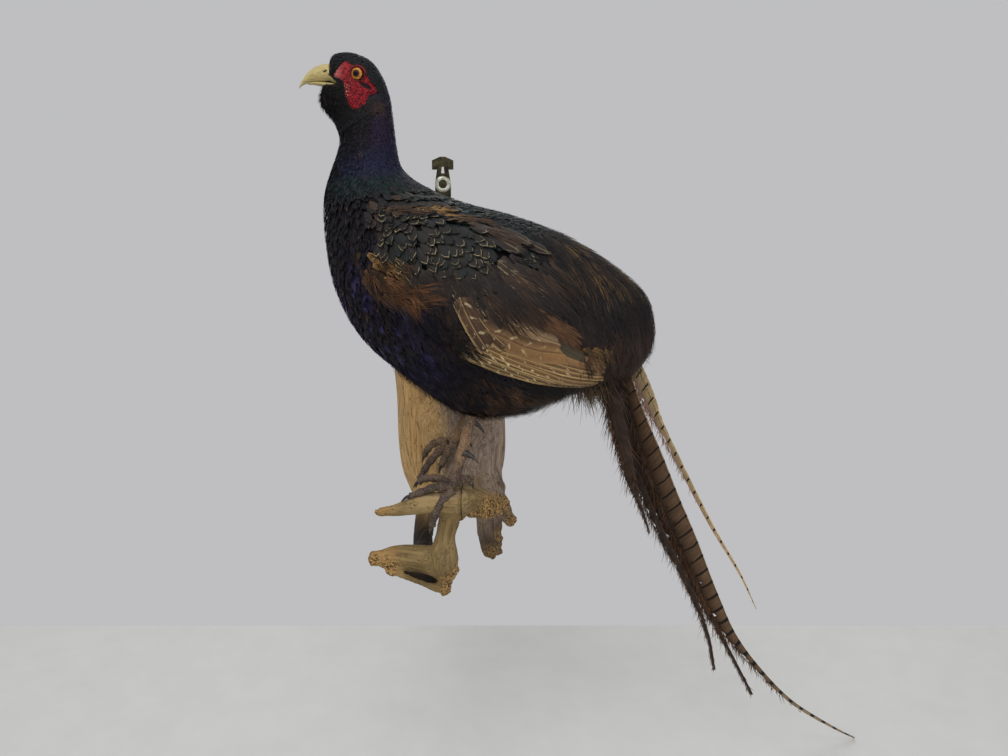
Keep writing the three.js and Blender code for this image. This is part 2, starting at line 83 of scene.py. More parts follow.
# The horn's outline in the side view: feathers stop at its rear edge, which runs down to the gape.
HORN = [
    [-104, 350], [-92, 350], [-82.0, 346.5], [-79.0, 341.5], [-80.4, 336.0], [-77.8, 333.4], [-73.8, 330.3],
    [-70.8, 327.4], [-74.0, 326.6], [-80.0, 326.6], [-88, 326.2], [-104, 323],
]
FEATHER_WEDGE = [[-53.8, 328.4], [-49.1, 327.3], [-44.3, 324.8], [-43.9, 322.8], [-48.3, 323.4], [-53, 326.8]]

# The wing's outer face: the lower and upper edge, as x and z, and how far it stands off the body.
WING = np.array([
    [-45, 172, -38, 194, 3], [-34, 146, -5, 216, 9], [0, 126, 38, 214, 12], [36, 106, 80, 198, 12],
    [75, 88, 115, 168, 11], [116, 78, 142, 128, 9], [148, 77, 158, 96, 5],
])


# ---- curves, noise and outlines ----

def through(rows, t):
    """A smooth curve through rows of numbers, at the places t."""
    rows = np.asarray(rows, float)
    last = len(rows) - 1
    t = np.clip(np.asarray(t, float), 0, last)
    i = np.minimum(t.astype(int), last - 1)
    f = (t - i).reshape(t.shape + (1,) * (rows.ndim - 1))
    a, b, c, d = (rows[np.clip(i + k, 0, last)] for k in (-1, 0, 1, 2))
    return b + 0.5 * f * (c - a + f * (2 * a - 5 * b + 4 * c - d + f * (3 * (b - c) + d - a)))


def each(count, *values):
    """Every value as an array of that many numbers."""
    return [np.broadcast_to(np.asarray(value, float), count) for value in values]


def unit(vectors):
    return vectors / np.maximum(np.linalg.norm(vectors, axis=-1, keepdims=True), 1e-9)


def smooth(value):
    value = np.clip(value, 0, 1)
    return value * value * (3 - 2 * value)


def path(points, count):
    """Places at even steps along a smooth curve through the points, and its direction at each."""
    p = np.asarray(points, float)
    p = np.vstack([2 * p[0] - p[1], p, 2 * p[-1] - p[-2]])
    f = np.linspace(0, 1, 24, endpoint=False)[:, None]
    bits = []
    for p0, p1, p2, p3 in zip(p, p[1:], p[2:], p[3:]):
        k0, k1, k2 = (np.linalg.norm(b - a) ** 0.5 for a, b in ((p0, p1), (p1, p2), (p2, p3)))
        m1 = k1 * ((p1 - p0) / k0 - (p2 - p0) / (k0 + k1) + (p2 - p1) / k1)
        m2 = k1 * ((p2 - p1) / k1 - (p3 - p1) / (k1 + k2) + (p3 - p2) / k2)
        bits.append(p1 + m1 * f + (3 * (p2 - p1) - 2 * m1 - m2) * f**2 + (2 * (p1 - p2) + m1 + m2) * f**3)
    fine = np.vstack(bits + [p[-2:-1]])
    walked = np.r_[0, np.cumsum(np.linalg.norm(np.diff(fine, axis=0), axis=1))]
    even = np.linspace(0, walked[-1], count)
    line = np.stack([np.interp(even, walked, column) for column in fine.T], 1)
    return line, unit(np.gradient(line, axis=0))


def grain(points, size, seed=0):
    """Smooth random values from -1 to 1 over space, with lumps of the given size."""
    q = np.asarray(points, float) / size + 31.7 * (seed + 1)
    cell = np.floor(q).astype(np.int64)
    f = smooth(q - cell)
    total = 0
    for corner in itertools.product((0, 1), repeat=3):
        x, y, z = (cell[..., k] + corner[k] for k in range(3))
        mixed = (x * 73856093 ^ y * 19349663 ^ z * 83492791) & 0xFFFFFFFF
        mixed = ((mixed ^ (mixed >> 13)) * 1274126177) & 0xFFFFFFFF
        weight = np.prod([f[..., k] if corner[k] else 1 - f[..., k] for k in range(3)], axis=0)
        total = total + weight * ((mixed >> 8) & 0xFFFF) / 32767.5
    return total - 1


def layered(points, size, seed=0, layers=3):
    return sum(grain(points, size / 2**k, seed + k) / 2**k for k in range(layers))


def inside(outline, x, z):
    """How far each point of the side view lies inside a closed outline; negative outside it."""
    ring = path(np.vstack([outline, outline[:1]]), 90)[0]
    odd = np.zeros(x.shape, bool)
    nearest = np.full(x.shape, 1e9)
    for (x0, z0), (x1, z1) in zip(ring, ring[1:]):
        crosses = (z0 > z) != (z1 > z)
        odd ^= crosses & (x < (x1 - x0) * (z - z0) / (z1 - z0 + 1e-12) + x0)
        share = ((x - x0) * (x1 - x0) + (z - z0) * (z1 - z0)) / ((x1 - x0) ** 2 + (z1 - z0) ** 2)
        share = np.clip(share, 0, 1)
        away = np.hypot(x - x0 - share * (x1 - x0), z - z0 - share * (z1 - z0))
        nearest = np.minimum(nearest, away)
    return np.where(odd, nearest, -nearest)


# ---- the outer form of the body ----

class Form:
    """The bird's outer surface, wings folded, over the station t and the angle a."""

    ROWS = 361
    COLUMNS = 241

    def __init__(self):
        t = np.linspace(0, LAST, self.ROWS)
        a = np.linspace(-PI, PI, self.COLUMNS)
        row = through(STATIONS, t)[:, None]
        low, high = row[..., 0:2], row[..., 2:4]
        centre = (low + high) / 2 + (high - low) / 2 * np.cos(a)[:, None]
        across = row[..., 4] * np.sin(a)
        self.place = np.stack([centre[..., 0], MID_Y + across, centre[..., 1]], -1)
        self.place[..., 1] += np.sign(across) * self.wing_swell(t, a)
        self.measure()

    def measure(self):
        self.per_t = np.gradient(self.place, LAST / (self.ROWS - 1), axis=0)
        wrapped = np.concatenate([self.place[:, -2:-1], self.place, self.place[:, 1:2]], 1)
        self.per_a = np.gradient(wrapped, 2 * PI / (self.COLUMNS - 1), axis=1)[:, 1:-1]
        self.normal = unit(np.cross(self.per_t, self.per_a))
        middle = self.place.mean(1, keepdims=True)
        if np.mean(np.sum(self.normal * (self.place - middle), -1)) < 0:
            self.normal = -self.normal

    def area(self):
        return np.linalg.norm(np.cross(self.per_t, self.per_a), axis=-1)

    def wing_swell(self, t, a):
        """How far the folded wing stands out beyond the body, over the whole form."""
        w, v = np.meshgrid(np.linspace(0, 6, 61), np.linspace(0, 1, 25), indexing="ij")
        rows = through(WING, w)
        spot = rows[..., 0:2] * (1 - v[..., None]) + rows[..., 2:4] * v[..., None]
        lift = 1 + rows[..., 4] * np.sqrt(1 - (2 * v - 1) ** 4)
        spot, lift = spot.reshape(-1, 2), lift.ravel()
        swell = np.zeros(self.place.shape[:2])
        for i in np.flatnonzero(t > NECK_ROOT):
            flank = np.abs(np.abs(a) - 1.5) < 1.2
            at = self.place[i, flank][:, [0, 2]]
            away = np.linalg.norm(at[:, None] - spot, axis=-1)
            swell[i, flank] = lift[away.argmin(1)] * smooth(1.3 - away.min(1) / 6)
        for _ in range(4):
            padded = np.pad(swell, 1, mode="edge")
            swell = (padded[:-2, 1:-1] + padded[2:, 1:-1] + padded[1:-1, :-2] + padded[1:-1, 2:]
                     + 2 * swell) / 6
        return swell

    def sample(self, field, t, a):
        r = np.clip(t, 0, LAST) * (self.ROWS - 1) / LAST
        c = ((a + PI) / (2 * PI) % 1) * (self.COLUMNS - 1)
        i = np.minimum(r.astype(int), self.ROWS - 2)
        j = np.minimum(c.astype(int), self.COLUMNS - 2)
        f, g = (r - i)[..., None], (c - j)[..., None]
        top = field[i, j] * (1 - g) + field[i, j + 1] * g
        return top * (1 - f) + (field[i + 1, j] * (1 - g) + field[i + 1, j + 1] * g) * f

    def at(self, t, a):
        """The place, past either end of the form too, and the outward direction there."""
        beyond = (t - np.clip(t, 0, LAST))[..., None]
        place = self.sample(self.place, t, a) + beyond * self.sample(self.per_t, t, a)
        return place, unit(self.sample(self.normal, t, a))

    def step(self, t, a, move):
        """The change in t and a that moves a point on the surface by the given vector."""
        along, round_ = self.sample(self.per_t, t, a), self.sample(self.per_a, t, a)
        e, f, g = ((p * q).sum(-1) for p, q in ((along, along), (along, round_), (round_, round_)))
        p, q = (along * move).sum(-1), (round_ * move).sum(-1)
        whole = np.maximum(e * g - f * f, 1e-3)
        return (g * p - f * q) / whole, (e * q - f * p) / whole

    def locate(self, x, z, side):
        """The station and angle of points of the side view."""
        x, z = np.broadcast_arrays(np.asarray(x, float), np.asarray(z, float))
        low_t, high_t = np.full(x.shape, NECK_ROOT), np.full(x.shape, float(LAST))
        for _ in range(26):  # halvings
            t = (low_t + high_t) / 2
            row = through(STATIONS, t)
            up = row[..., 2:4] - row[..., 0:2]
            off = np.stack([x, z], -1) - (row[..., 0:2] + row[..., 2:4]) / 2
            ahead = up[..., 0] * off[..., 1] - up[..., 1] * off[..., 0] > 0
            high_t = np.where(ahead, t, high_t)
            low_t = np.where(ahead, low_t, t)
        row = through(STATIONS, t)
        up = (row[..., 2:4] - row[..., 0:2]) / 2
        off = np.stack([x, z], -1) - (row[..., 0:2] + row[..., 2:4]) / 2
        rise = (up * off).sum(-1) / (up * up).sum(-1)
        return t, side * np.arccos(np.clip(rise, -0.995, 0.995))


form = Form()


# ---- laying feathers on the form ----

def scatter(count, rng, keep):
    """Places spread evenly by area over the part of the form that keep(t, a) allows."""
    area = form.area()[:-1, :-1]
    share = np.cumsum(area.ravel())
    t, a = np.zeros(0), np.zeros(0)
    while len(t) < count:
        pick = np.searchsorted(share, rng.random(count * 4) * share[-1])
        i, j = np.divmod(np.minimum(pick, area.size - 1), area.shape[1])
        new_t = (i + rng.random(len(i))) * LAST / (form.ROWS - 1)
        new_a = (j + rng.random(len(j))) * 2 * PI / (form.COLUMNS - 1) - PI
        kept = keep(new_t, new_a)
        t, a = np.r_[t, new_t[kept]], np.r_[a, new_a[kept]]
    return t[:count], a[:count]


def spaced(t, a, gap):
    """The first of the places that keep a gap to all those kept before them."""
    places = form.at(t, a)[0]
    cells = {}
    kept = []
    for n, place in enumerate(places.tolist()):
        home = tuple(int(value // gap) for value in place)
        near = (cells.get((home[0] + i, home[1] + j, home[2] + k), ())
                for i in (-1, 0, 1) for j in (-1, 0, 1) for k in (-1, 0, 1))
        if all(math.dist(place, other) >= gap for bunch in near for other in bunch):
            cells.setdefault(home, []).append(place)
            kept.append(n)
    return t[kept], a[kept]


def cover(t_from, t_to, gap, rng, keep=lambda t, a: True):
    """Evenly spaced roots between two stations, in the part that keep allows."""
    span = lambda t, a: (t > t_from) & (t < t_to) & keep(t, a)
    grid = np.meshgrid(np.linspace(0, LAST, form.ROWS), np.linspace(-PI, PI, form.COLUMNS), indexing="ij")
    area = form.area().ravel() * span(*(g.ravel() for g in grid))
    size = area.sum() * (LAST / (form.ROWS - 1)) * (2 * PI / (form.COLUMNS - 1))
    return spaced(*scatter(int(5 * size / gap**2) + 20, rng, span), gap)


def trail(t, a, length, rows, heading=None, pull=0.0, turn=0.0, curl=0.0):
    """Walks from each root over the form. The walk follows the lie of the coat, turned by an angle,
    and is pulled towards a heading in space. Gives the stations, angles and directions on the way."""
    count = len(t)
    length, pull, turn, curl = each(count, length, pull, turn, curl)
    stations, angles, ways = [t], [a], []
    for k in range(rows):
        normal = unit(form.sample(form.normal, t, a))
        lie = unit(form.sample(form.per_t, t, a))
        side = np.cross(normal, lie)
        angle = (turn + curl * k / (rows - 1))[:, None]
        way = lie * np.cos(angle) + side * np.sin(angle)
        if heading is not None:
            flat = heading - normal * (heading * normal).sum(-1, keepdims=True)
            way = way * (1 - pull[:, None]) + flat * pull[:, None]
        way = unit(way - normal * (way * normal).sum(-1, keepdims=True))
        ways.append(way)
        if k < rows - 1:
            dt, da = form.step(t, a, way * (length / (rows - 1))[:, None])
            t, a = t + dt, a + da
            stations.append(t)
            angles.append(a)
    return np.stack(stations, 1), np.stack(angles, 1), np.stack(ways, 1)


def spread(walk, across, ahead, height):
    """Points beside a walk: across and ahead of it along the surface, and at a height over it."""
    t, a, way = (part[:, :, None] for part in walk)
    shape = across.shape
    t, a = np.broadcast_to(t, shape), np.broadcast_to(a, shape)
    normal = unit(form.sample(form.normal, t, a))
    side = np.cross(normal, way)
    move = side * across[..., None] + way * np.broadcast_to(ahead, shape)[..., None]
    dt, da = form.step(t, a, move)
    limit = 0.5
    place, normal = form.at(t + np.clip(dt, -limit, limit), a + np.clip(da, -limit, limit))
    return place + normal * np.broadcast_to(height, shape)[..., None]


def template(rows, columns):
    """The faces of one flat vane, as numbers of its points, row by row from the root."""
    bm = bmesh.new()
    bmesh.ops.create_grid(bm, x_segments=columns - 1, y_segments=rows - 1, size=0.5)
    step = np.array([columns - 1, rows - 1])
    spot = {v.index: ((np.array(v.co[:2]) + 0.5) * step).round().astype(int) for v in bm.verts}
    faces = [[spot[v.index][1] * columns + spot[v.index][0] for v in face.verts] for face in bm.faces]
    bm.free()
    return np.array(faces)


PATCH = 0.003  # the width of a feather's patch on the unwrapped skin
MARGIN = 0.005


def patch_of(t, a):
    """The place of a root on the unwrapped skin."""
    shares = np.stack([(a / (2 * PI) + 0.5) % 1, np.clip(t / LAST, 0, 1)], -1)
    return shares * (1 - 2 * MARGIN) + MARGIN


class Coat:
    """Vanes and strands of one piece, gathered as arrays and then made into one mesh."""

    def __init__(self, name, rng=None):
        self.name = name
        self.rng = rng or rng_for(name)
        self.rows = {key: [] for key in ("place", "face", "tint", "marks", "vane", "OFBake")}
        self.count = 0

    def marks(self, count, lace=0.0, streak=0.0, gloss=0.3):
        """The edge line, shaft line and gloss of each feather, and a chance number of its own."""
        return np.stack([*each(count, lace, streak, gloss), self.rng.random(count)], -1)

    def add(self, points, tint, marks, patch, vane=None):
        """Vanes as (how many, rows, columns, 3) points, with a tint and four marks for each vane; the
        tint can vary from point to point instead."""
        many, rows, columns = points.shape[:3]
        u, v = np.meshgrid(np.linspace(0, 1, columns), np.linspace(0, 1, rows))
        unwrap = np.broadcast_to(np.stack([u, v], -1), (many, rows, columns, 2))
        faces = template(rows, columns) + self.count + np.arange(many)[:, None, None] * rows * columns
        every = lambda values, width: np.broadcast_to(
            np.asarray(values, float).reshape(-1, 1, 1, width), (many, rows, columns, width))
        tint = every(tint, 3) if np.ndim(tint) == 2 else np.broadcast_to(tint, (many, rows, columns, 3))
        fields = {
            "place": points * MM,
            "tint": np.concatenate([tint, np.ones((many, rows, columns, 1))], -1),
            "marks": every(marks, 4),
            "vane": unwrap if vane is None else vane,
            "OFBake": every(patch, 2) + (unwrap - 0.5) * PATCH,
        }
        for key, values in fields.items():
            self.rows[key].append(values.reshape(-1, values.shape[-1]))
        self.rows["face"].append(faces.reshape(-1, 4))
        self.count += many * rows * columns

    def piece(self, finish, slot, replaces=()):
        data = {key: np.vstack(values) for key, values in self.rows.items()}
        mesh = bpy.data.meshes.new(self.name)
        corners = data["face"].ravel().astype(np.int32)
        mesh.vertices.add(len(data["place"]))
        mesh.vertices.foreach_set("co", data["place"].astype(np.float32).ravel())
        mesh.loops.add(len(corners))
        mesh.loops.foreach_set("vertex_index", corners)
        mesh.polygons.add(len(data["face"]))
        mesh.polygons.foreach_set("loop_start", np.arange(0, len(corners), 4, dtype=np.int32))
        mesh.update(calc_edges=True)
        mesh.validate()
        for key in ("tint", "marks"):
            layer = mesh.color_attributes.new(name=key, type="FLOAT_COLOR", domain="POINT")
            layer.data.foreach_set("color", data[key].astype(np.float32).ravel())
        for key in ("vane", "OFBake"):
            layer = mesh.uv_layers.new(name=key)
            layer.data.foreach_set("uv", data[key][corners].astype(np.float32).ravel())
        return piece(self.name, mesh, finish, replaces)


# ---- materials ----

def pair(operation, turned=False):
    """The Math node of a value and another, or of the other and the value."""
    return lambda self, other: self.math(operation, *((other, self) if turned else (self, other)))


def alone(operation):
    return lambda self: self.math(operation, self)


class Value:
    """The output of a material's node, on which plain arithmetic adds Math nodes."""

    def __init__(self, finish, socket):
        self.finish = finish
        self.socket = socket

    def math(self, operation, *values, clamp=False):
        settings = {"operation": operation, "use_clamp": clamp}
        return self.finish.node("ShaderNodeMath", settings, dict(enumerate(values)))

    __add__ = __radd__ = pair("ADD")
    __mul__ = __rmul__ = pair("MULTIPLY")
    __sub__ = pair("SUBTRACT")
    __rsub__ = pair("SUBTRACT", turned=True)
    __truediv__ = pair("DIVIDE")
    __pow__ = pair("POWER")
    __abs__ = alone("ABSOLUTE")
    top = pair("MAXIMUM")
    sine = alone("SINE")
    cosine = alone("COSINE")
    part = alone("FRACT")  # what is left over a whole number

    def __neg__(self):
        return 0.0 - self

    def clamp(self):
        return self.math("ADD", self, 0.0, clamp=True)

    def near(self, centre, reach):
        """1 at the centre, falling evenly to 0 at the reach from it."""
        return (1.0 - abs(self - centre) / reach).clamp()

    def between(self, low, high):
        """0 below low, 1 above high, with a smooth change between them."""
        settings = {"interpolation_type": "SMOOTHSTEP"}
        return self.finish.node("ShaderNodeMapRange", settings, {0: self, 1: low, 2: high})


class Finish:
    """A material under construction round one Principled shader."""

    def __init__(self, name, constants):
        self.material = bpy.data.materials.new(name)
        self.material.use_nodes = True
        self.tree = self.material.node_tree
        self.shader = self.tree.nodes["Principled BSDF"]
        self.paint(constants)

    def put(self, socket, value):
        if isinstance(value, Value):
            self.tree.links.new(value.socket, socket)
        else:
            socket.default_value = value

    def paint(self, sockets):
        for name, value in sockets.items():
            self.put(self.shader.inputs[name], value)

    def node(self, kind, settings=None, sockets=None, out=0):
        made = self.tree.nodes.new(kind)
        for name, value in (settings or {}).items():
            setattr(made, name, value)
        for key, value in (sockets or {}).items():
            self.put(made.inputs[key], value)
        return Value(self, made.outputs[out])

    def split(self, vector):
        made = self.node("ShaderNodeSeparateXYZ", None, {0: vector}).socket.node
        return [Value(self, socket) for socket in made.outputs]

    def join(self, x, y, z=0.0):
        return self.node("ShaderNodeCombineXYZ", None, {0: x, 1: y, 2: z})

    def uv(self, name):
        return self.node("ShaderNodeUVMap", {"uv_map": name})

    def attribute(self, name, out=0):
        return self.node("ShaderNodeAttribute", {"attribute_name": name}, None, out)

    def space(self):
        return self.node("ShaderNodeTexCoord", None, None, 3)

    def scaled(self, vector, by):
        return self.node("ShaderNodeVectorMath", {"operation": "MULTIPLY"}, {0: vector, 1: by})

    def brighter(self, colour, by):
        return self.node("ShaderNodeVectorMath", {"operation": "SCALE"}, {0: colour, 3: by})

    def noise(self, vector, scale, detail=2.0, rough=0.55):
        return self.node("ShaderNodeTexNoise", None,
                         {"Vector": vector, "Scale": scale, "Detail": detail, "Roughness": rough})

    def cells(self, vector, scale, feature="F1"):
        return self.node("ShaderNodeTexVoronoi", {"feature": feature}, {"Vector": vector, "Scale": scale})

    def mix(self, first, second, share):
        """A blend of two colours: from nodes, solid ones, or three tones as seen on a display."""
        first, second = (solid(tone(*colour)) if isinstance(colour, tuple) and len(colour) == 3 else colour
                         for colour in (first, second))
        return self.node("ShaderNodeMix", {"data_type": "RGBA"}, {0: share, 6: first, 7: second}, 2)

    def bump(self, height, strength, distance):
        shape = self.node("ShaderNodeBump", None,
                          {"Height": height, "Strength": strength, "Distance": distance})
        self.paint({"Normal": shape})


def tone(red, green, blue):
    """A colour as seen on a display, 0 to 255, as the linear colour that a material holds."""
    return tuple((c / 255 / 12.92 if c <= 10 else ((c / 255 + 0.055) / 1.055) ** 2.4)
                 for c in (red, green, blue))


def solid(colour):
    return (*colour, 1.0)


BUFF = tone(196, 172, 122)
BAR_BLACK = tone(24, 18, 14)


class Vane(Finish):
    """A feather's material: fine barbs that sweep forward over the tint, with room for markings. The
    first three marks of a vane are two strengths and its gloss, and the fourth is a chance number."""

    def __init__(self, name, barbs, sweep):
        super().__init__(name, {"Specular IOR Level": 0.2, "Coat Weight": 0.0})
        self.across, self.along, _ = self.split(self.uv("vane"))
        self.first, self.second, self.gloss = self.split(self.attribute("marks"))
        self.chance = self.attribute("marks", 3)
        self.off = abs(self.across * 2.0 - 1.0)
        where = self.join(self.off * 1.5, self.along * barbs - self.off * sweep, self.chance * 60.0)
        self.fibres = self.noise(where, 1.0, 2.0)
        self.colour = self.brighter(self.attribute("tint"), 0.4 + 1.2 * self.fibres)

    def patches(self, size, low, high):
        """Soft blotches on the vane, different on each feather."""
        where = self.join(self.across * size, self.along * size, self.chance * 90.0)
        return self.noise(where, 1.0, 1.0).between(low, high)

    def lay(self, colour, share):
        self.colour = self.mix(self.colour, solid(colour), share)

    def done(self):
        self.paint({"Base Color": self.colour, "Metallic": self.gloss, "Roughness": 0.62 - self.gloss * 0.2})
        self.bump(self.fibres, 0.35, 0.0006)
        return self.material


def plumage_finish():
    f = Vane("plumage", 26.0, 5.0)
    rim = (f.off * f.off + ((f.along - 0.45) / 0.55).top(0.0) ** 2.0) ** 0.5
    f.lay(BUFF, f.first * rim.near(0.8, 0.1) * f.patches(3.0, 0.4, 0.55))
    f.lay(BUFF, (1.0 - f.off * 7.0).clamp() * f.along.between(0.1, 0.3) * f.second)
    return f.done()


def laced_finish():
    """Shoulder feathers: a broken thin pale line inside a dark edge, round brown barbs."""
    f = Vane("laced", 26.0, 5.0)
    point = ((f.along - 0.5) / 0.5).top(0.0)
    rim = (f.off * f.off * (1.0 + point * 0.5) + point ** 1.6) ** 0.5
    f.lay(EARTH, f.first * (1.0 - rim / 0.72).clamp() * f.fibres.between(0.45, 0.6) * 0.6)
    f.lay(tone(14, 17, 16), f.first * rim.between(0.86, 0.92) * 0.7)
    line = rim.near(0.78, 0.055)
    f.lay(BUFF, f.first * line * f.patches(2.6, 0.34, 0.46) * f.along.between(0.45, 0.6))
    f.lay(BUFF, (1.0 - f.off * 11.0).clamp() * f.along.between(0.35, 0.5) * f.second)
    return f.done()


def quill_finish():
    """Wing feathers: a pale shaft and lower edge, a dark line beside the shaft, a painted shadow line just
    inside the lower edge, and cream notches between.
    """
    f = Vane("quill", 34.0, 7.0)
    above = f.across.between(0.5, 0.52)
    f.lay(tone(40, 28, 18), f.off.between(0.1, 1.0) * above * 0.6)
    # painted shadow: a dark line just inside the pale lower edge
    f.lay(tone(44, 30, 20), f.across.near(0.24, 0.1) * f.second * 0.65)
    f.lay(tone(38, 26, 18), above * f.across.near(0.58, 0.07) * 0.6)
    wave = abs((f.along + f.chance - f.off * 0.5).part() - 0.5)
    spot = (1.0 - wave.between(0.07, 0.17)) * f.off.between(0.1, 0.25) * (1.0 - f.off.between(0.55, 0.8))
    fading = 1.0 - f.along.between(4.5, 7.0)
    f.lay(CREAM, spot * f.patches(4.0, 0.46, 0.56) * f.first * fading)
    f.lay(tone(222, 192, 132), (1.0 - f.across / 0.16).clamp() * f.second * (0.45 + fading * 0.4))
    f.lay(tone(206, 176, 118), (1.0 - f.off / 0.07).clamp() * f.second * 0.8)
    return f.done()


def barred_finish():
    """Tail feathers: dark bars that follow the barbs, one for each unit of length on the vane map."""
    f = Vane("barred", 14.0, 5.0)
    wobble = f.noise(f.join(f.off * 2.0, f.along * 2.0, f.chance * 9.0), 1.0, 1.0) * 0.14
    wave = abs((f.along + wobble).part() - 0.5)
    thick = 0.02 + f.along.between(3.0, 10.0) * 0.02 + f.across * 0.045 + f.along.between(12.0, 26.0) * 0.09
    reach = 1.0 - f.off.between(f.second * 1.3 - 0.12, f.second * 1.3 + 0.06)
    bar = (1.0 - ((wave - thick) / 0.03).clamp()) * reach * f.across.between(0.04, 0.14)
    f.lay(BAR_BLACK, bar * f.first)
    return f.done()


# ---- making pieces ----

def mesh_of(bm, name):
    """A mesh of the finished shape."""
    mesh = bpy.data.meshes.new(name)
    bm.to_mesh(mesh)
    bm.free()
    return mesh


def placed(name, data):
    """A new object in the scene."""
    made = bpy.data.objects.new(name, data)
    bpy.context.scene.collection.objects.link(made)
    return made


def length_of(points):
    return np.linalg.norm(np.diff(np.array(points, float), axis=0), axis=1).sum()


def piece(name, mesh, finish, replaces=()):
    made = placed(f"{name}_form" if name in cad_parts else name, mesh)
    mesh.materials.clear()
    mesh.materials.append(finish)
    mesh.polygons.foreach_set("use_smooth", np.ones(len(mesh.polygons), bool))
    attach(made, "root")
    if replaces:
        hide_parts(*replaces)
    return made


def rng_for(name):
    """A seeded source of chance for each piece, so that one piece doesn't change another."""
    return np.random.default_rng([ord(letter) for letter in name])


def ends_round(s):
    """The outline of a vane: its half width along its length, as a share of the widest."""
    root, widest = 0.35, 0.5
    grow = root + (1 - root) * np.sqrt(np.clip(s / 0.35, 0, 1))
    close = np.clip((s - widest) / (1 - widest), 0, 1)
    return grow * np.sqrt(np.maximum(1 - close**2, 0.004))


def vanes(coat, t, a, length, half, tint, marks, rows=6, columns=7, sink=1.0, rise=0.2, camber=0.12,
          ragged=0.1, heading=None, pull=0.0, turn=0.0):
    """Adds a broad vane at each root, laid on the form, with its barbs swept forward."""
    rng, many = coat.rng, len(t)
    length, half, sink, rise = each(many, length, half, sink, rise)
    walk = trail(t, a, length, rows, heading, pull, turn)
    s = np.linspace(0, 1, rows)[None, :, None]
    u = np.linspace(-1, 1, columns)[None, None, :]
    wide = half[:, None, None]
    across = u * wide * ends_round(s)
    teeth = rng.random((many, 1, columns)) - 0.6
    across = across * (1 - 0.35 * ragged * rng.random((many, rows, columns)) * np.abs(u) ** 3)
    ahead = np.abs(across) * 0.5 * (1 - s * 0.7) + teeth * ragged * wide * 1.3 * s**3
    ahead = ahead - length[:, None, None] * 0.12 * u**2 * s**3
    jitter = (rng.random(many) - 0.5)[:, None, None] * 0.3
    height = -sink[:, None, None] * (1 - s) ** 1.4 + (rise[:, None, None] + jitter) * s
    height = height - camber * wide * u**2 * (0.4 + 0.6 * s)
    coat.add(spread(walk, across, ahead, height), tint, marks, patch_of(t, a))


def strands(coat, t, a, length, half, tint, marks, threads=5, rows=7, width=0.5, sink=1.0, rise=0.5,
            loose=0.0, heading=None, pull=0.0, turn=0.0, curl=0.0):
    """Adds a lock of thin tapering strands at each root, which part towards their tips."""
    rng, many = coat.rng, len(t)
    length, loose = each(many, length, loose)
    walk = trail(t, a, length, rows, heading, pull, turn, curl)
    walk = tuple(np.repeat(part, threads, axis=0) for part in walk)
    s = np.linspace(0, 1, rows)[None, :, None]
    u = np.array([-1.0, 1.0])[None, None, :]
    place = np.tile(np.linspace(-1, 1, threads), many) + rng.normal(0, 0.12, many * threads)
    place = place[:, None, None] * half
    reach = np.repeat(length, threads)[:, None, None] * (1 - 0.45 * rng.random((many * threads, 1, 1)))
    stray = rng.normal(0, 0.22, (many * threads, 1, 1)) * half
    full = np.repeat(length, threads)[:, None, None]
    across = place * (0.35 + 0.65 * np.sin(s * PI * 0.62)) + stray * s**2 + u * width * (1 - 0.88 * s**1.5)
    ahead = (reach - full) * s
    lift = rng.random((many * threads, 1, 1))
    loose = np.repeat(loose, threads)[:, None, None]
    height = -sink * (1 - s) ** 1.2 + rise * s * (0.3 + 0.9 * lift) + loose * s**2 * (0.4 + lift)
    height = height + 0.12 * u * width
    tinted = np.repeat(tint, threads, axis=0) * (0.7 + 0.6 * rng.random((many * threads, 1)))
    marked = np.repeat(marks, threads, axis=0)
    patches = np.repeat(patch_of(t, a), threads, axis=0)
    coat.add(spread(walk, across, ahead, height), tinted, marked, patches)


# ---- the colours of the coat ----

CROWN = tone(19, 23, 25)
FACE = tone(13, 13, 14)
PLUM = tone(34, 24, 47)
DEEP_BLUE = tone(23, 26, 50)
TEAL = tone(24, 36, 37)
INK = tone(21, 18, 23)
VIOLET = tone(29, 22, 42)
GLINT = tone(50, 44, 84)
MANTLE = tone(27, 32, 31)
EARTH = tone(62, 45, 33)
RUST = tone(116, 78, 50)
GOLD = tone(150, 114, 64)
DUSK = tone(46, 37, 31)
SOOT = tone(22, 19, 20)


def blend(first, second, share):
    share = np.clip(share, 0, 1)[..., None]
    return np.asarray(first) * (1 - share) + np.asarray(second) * share


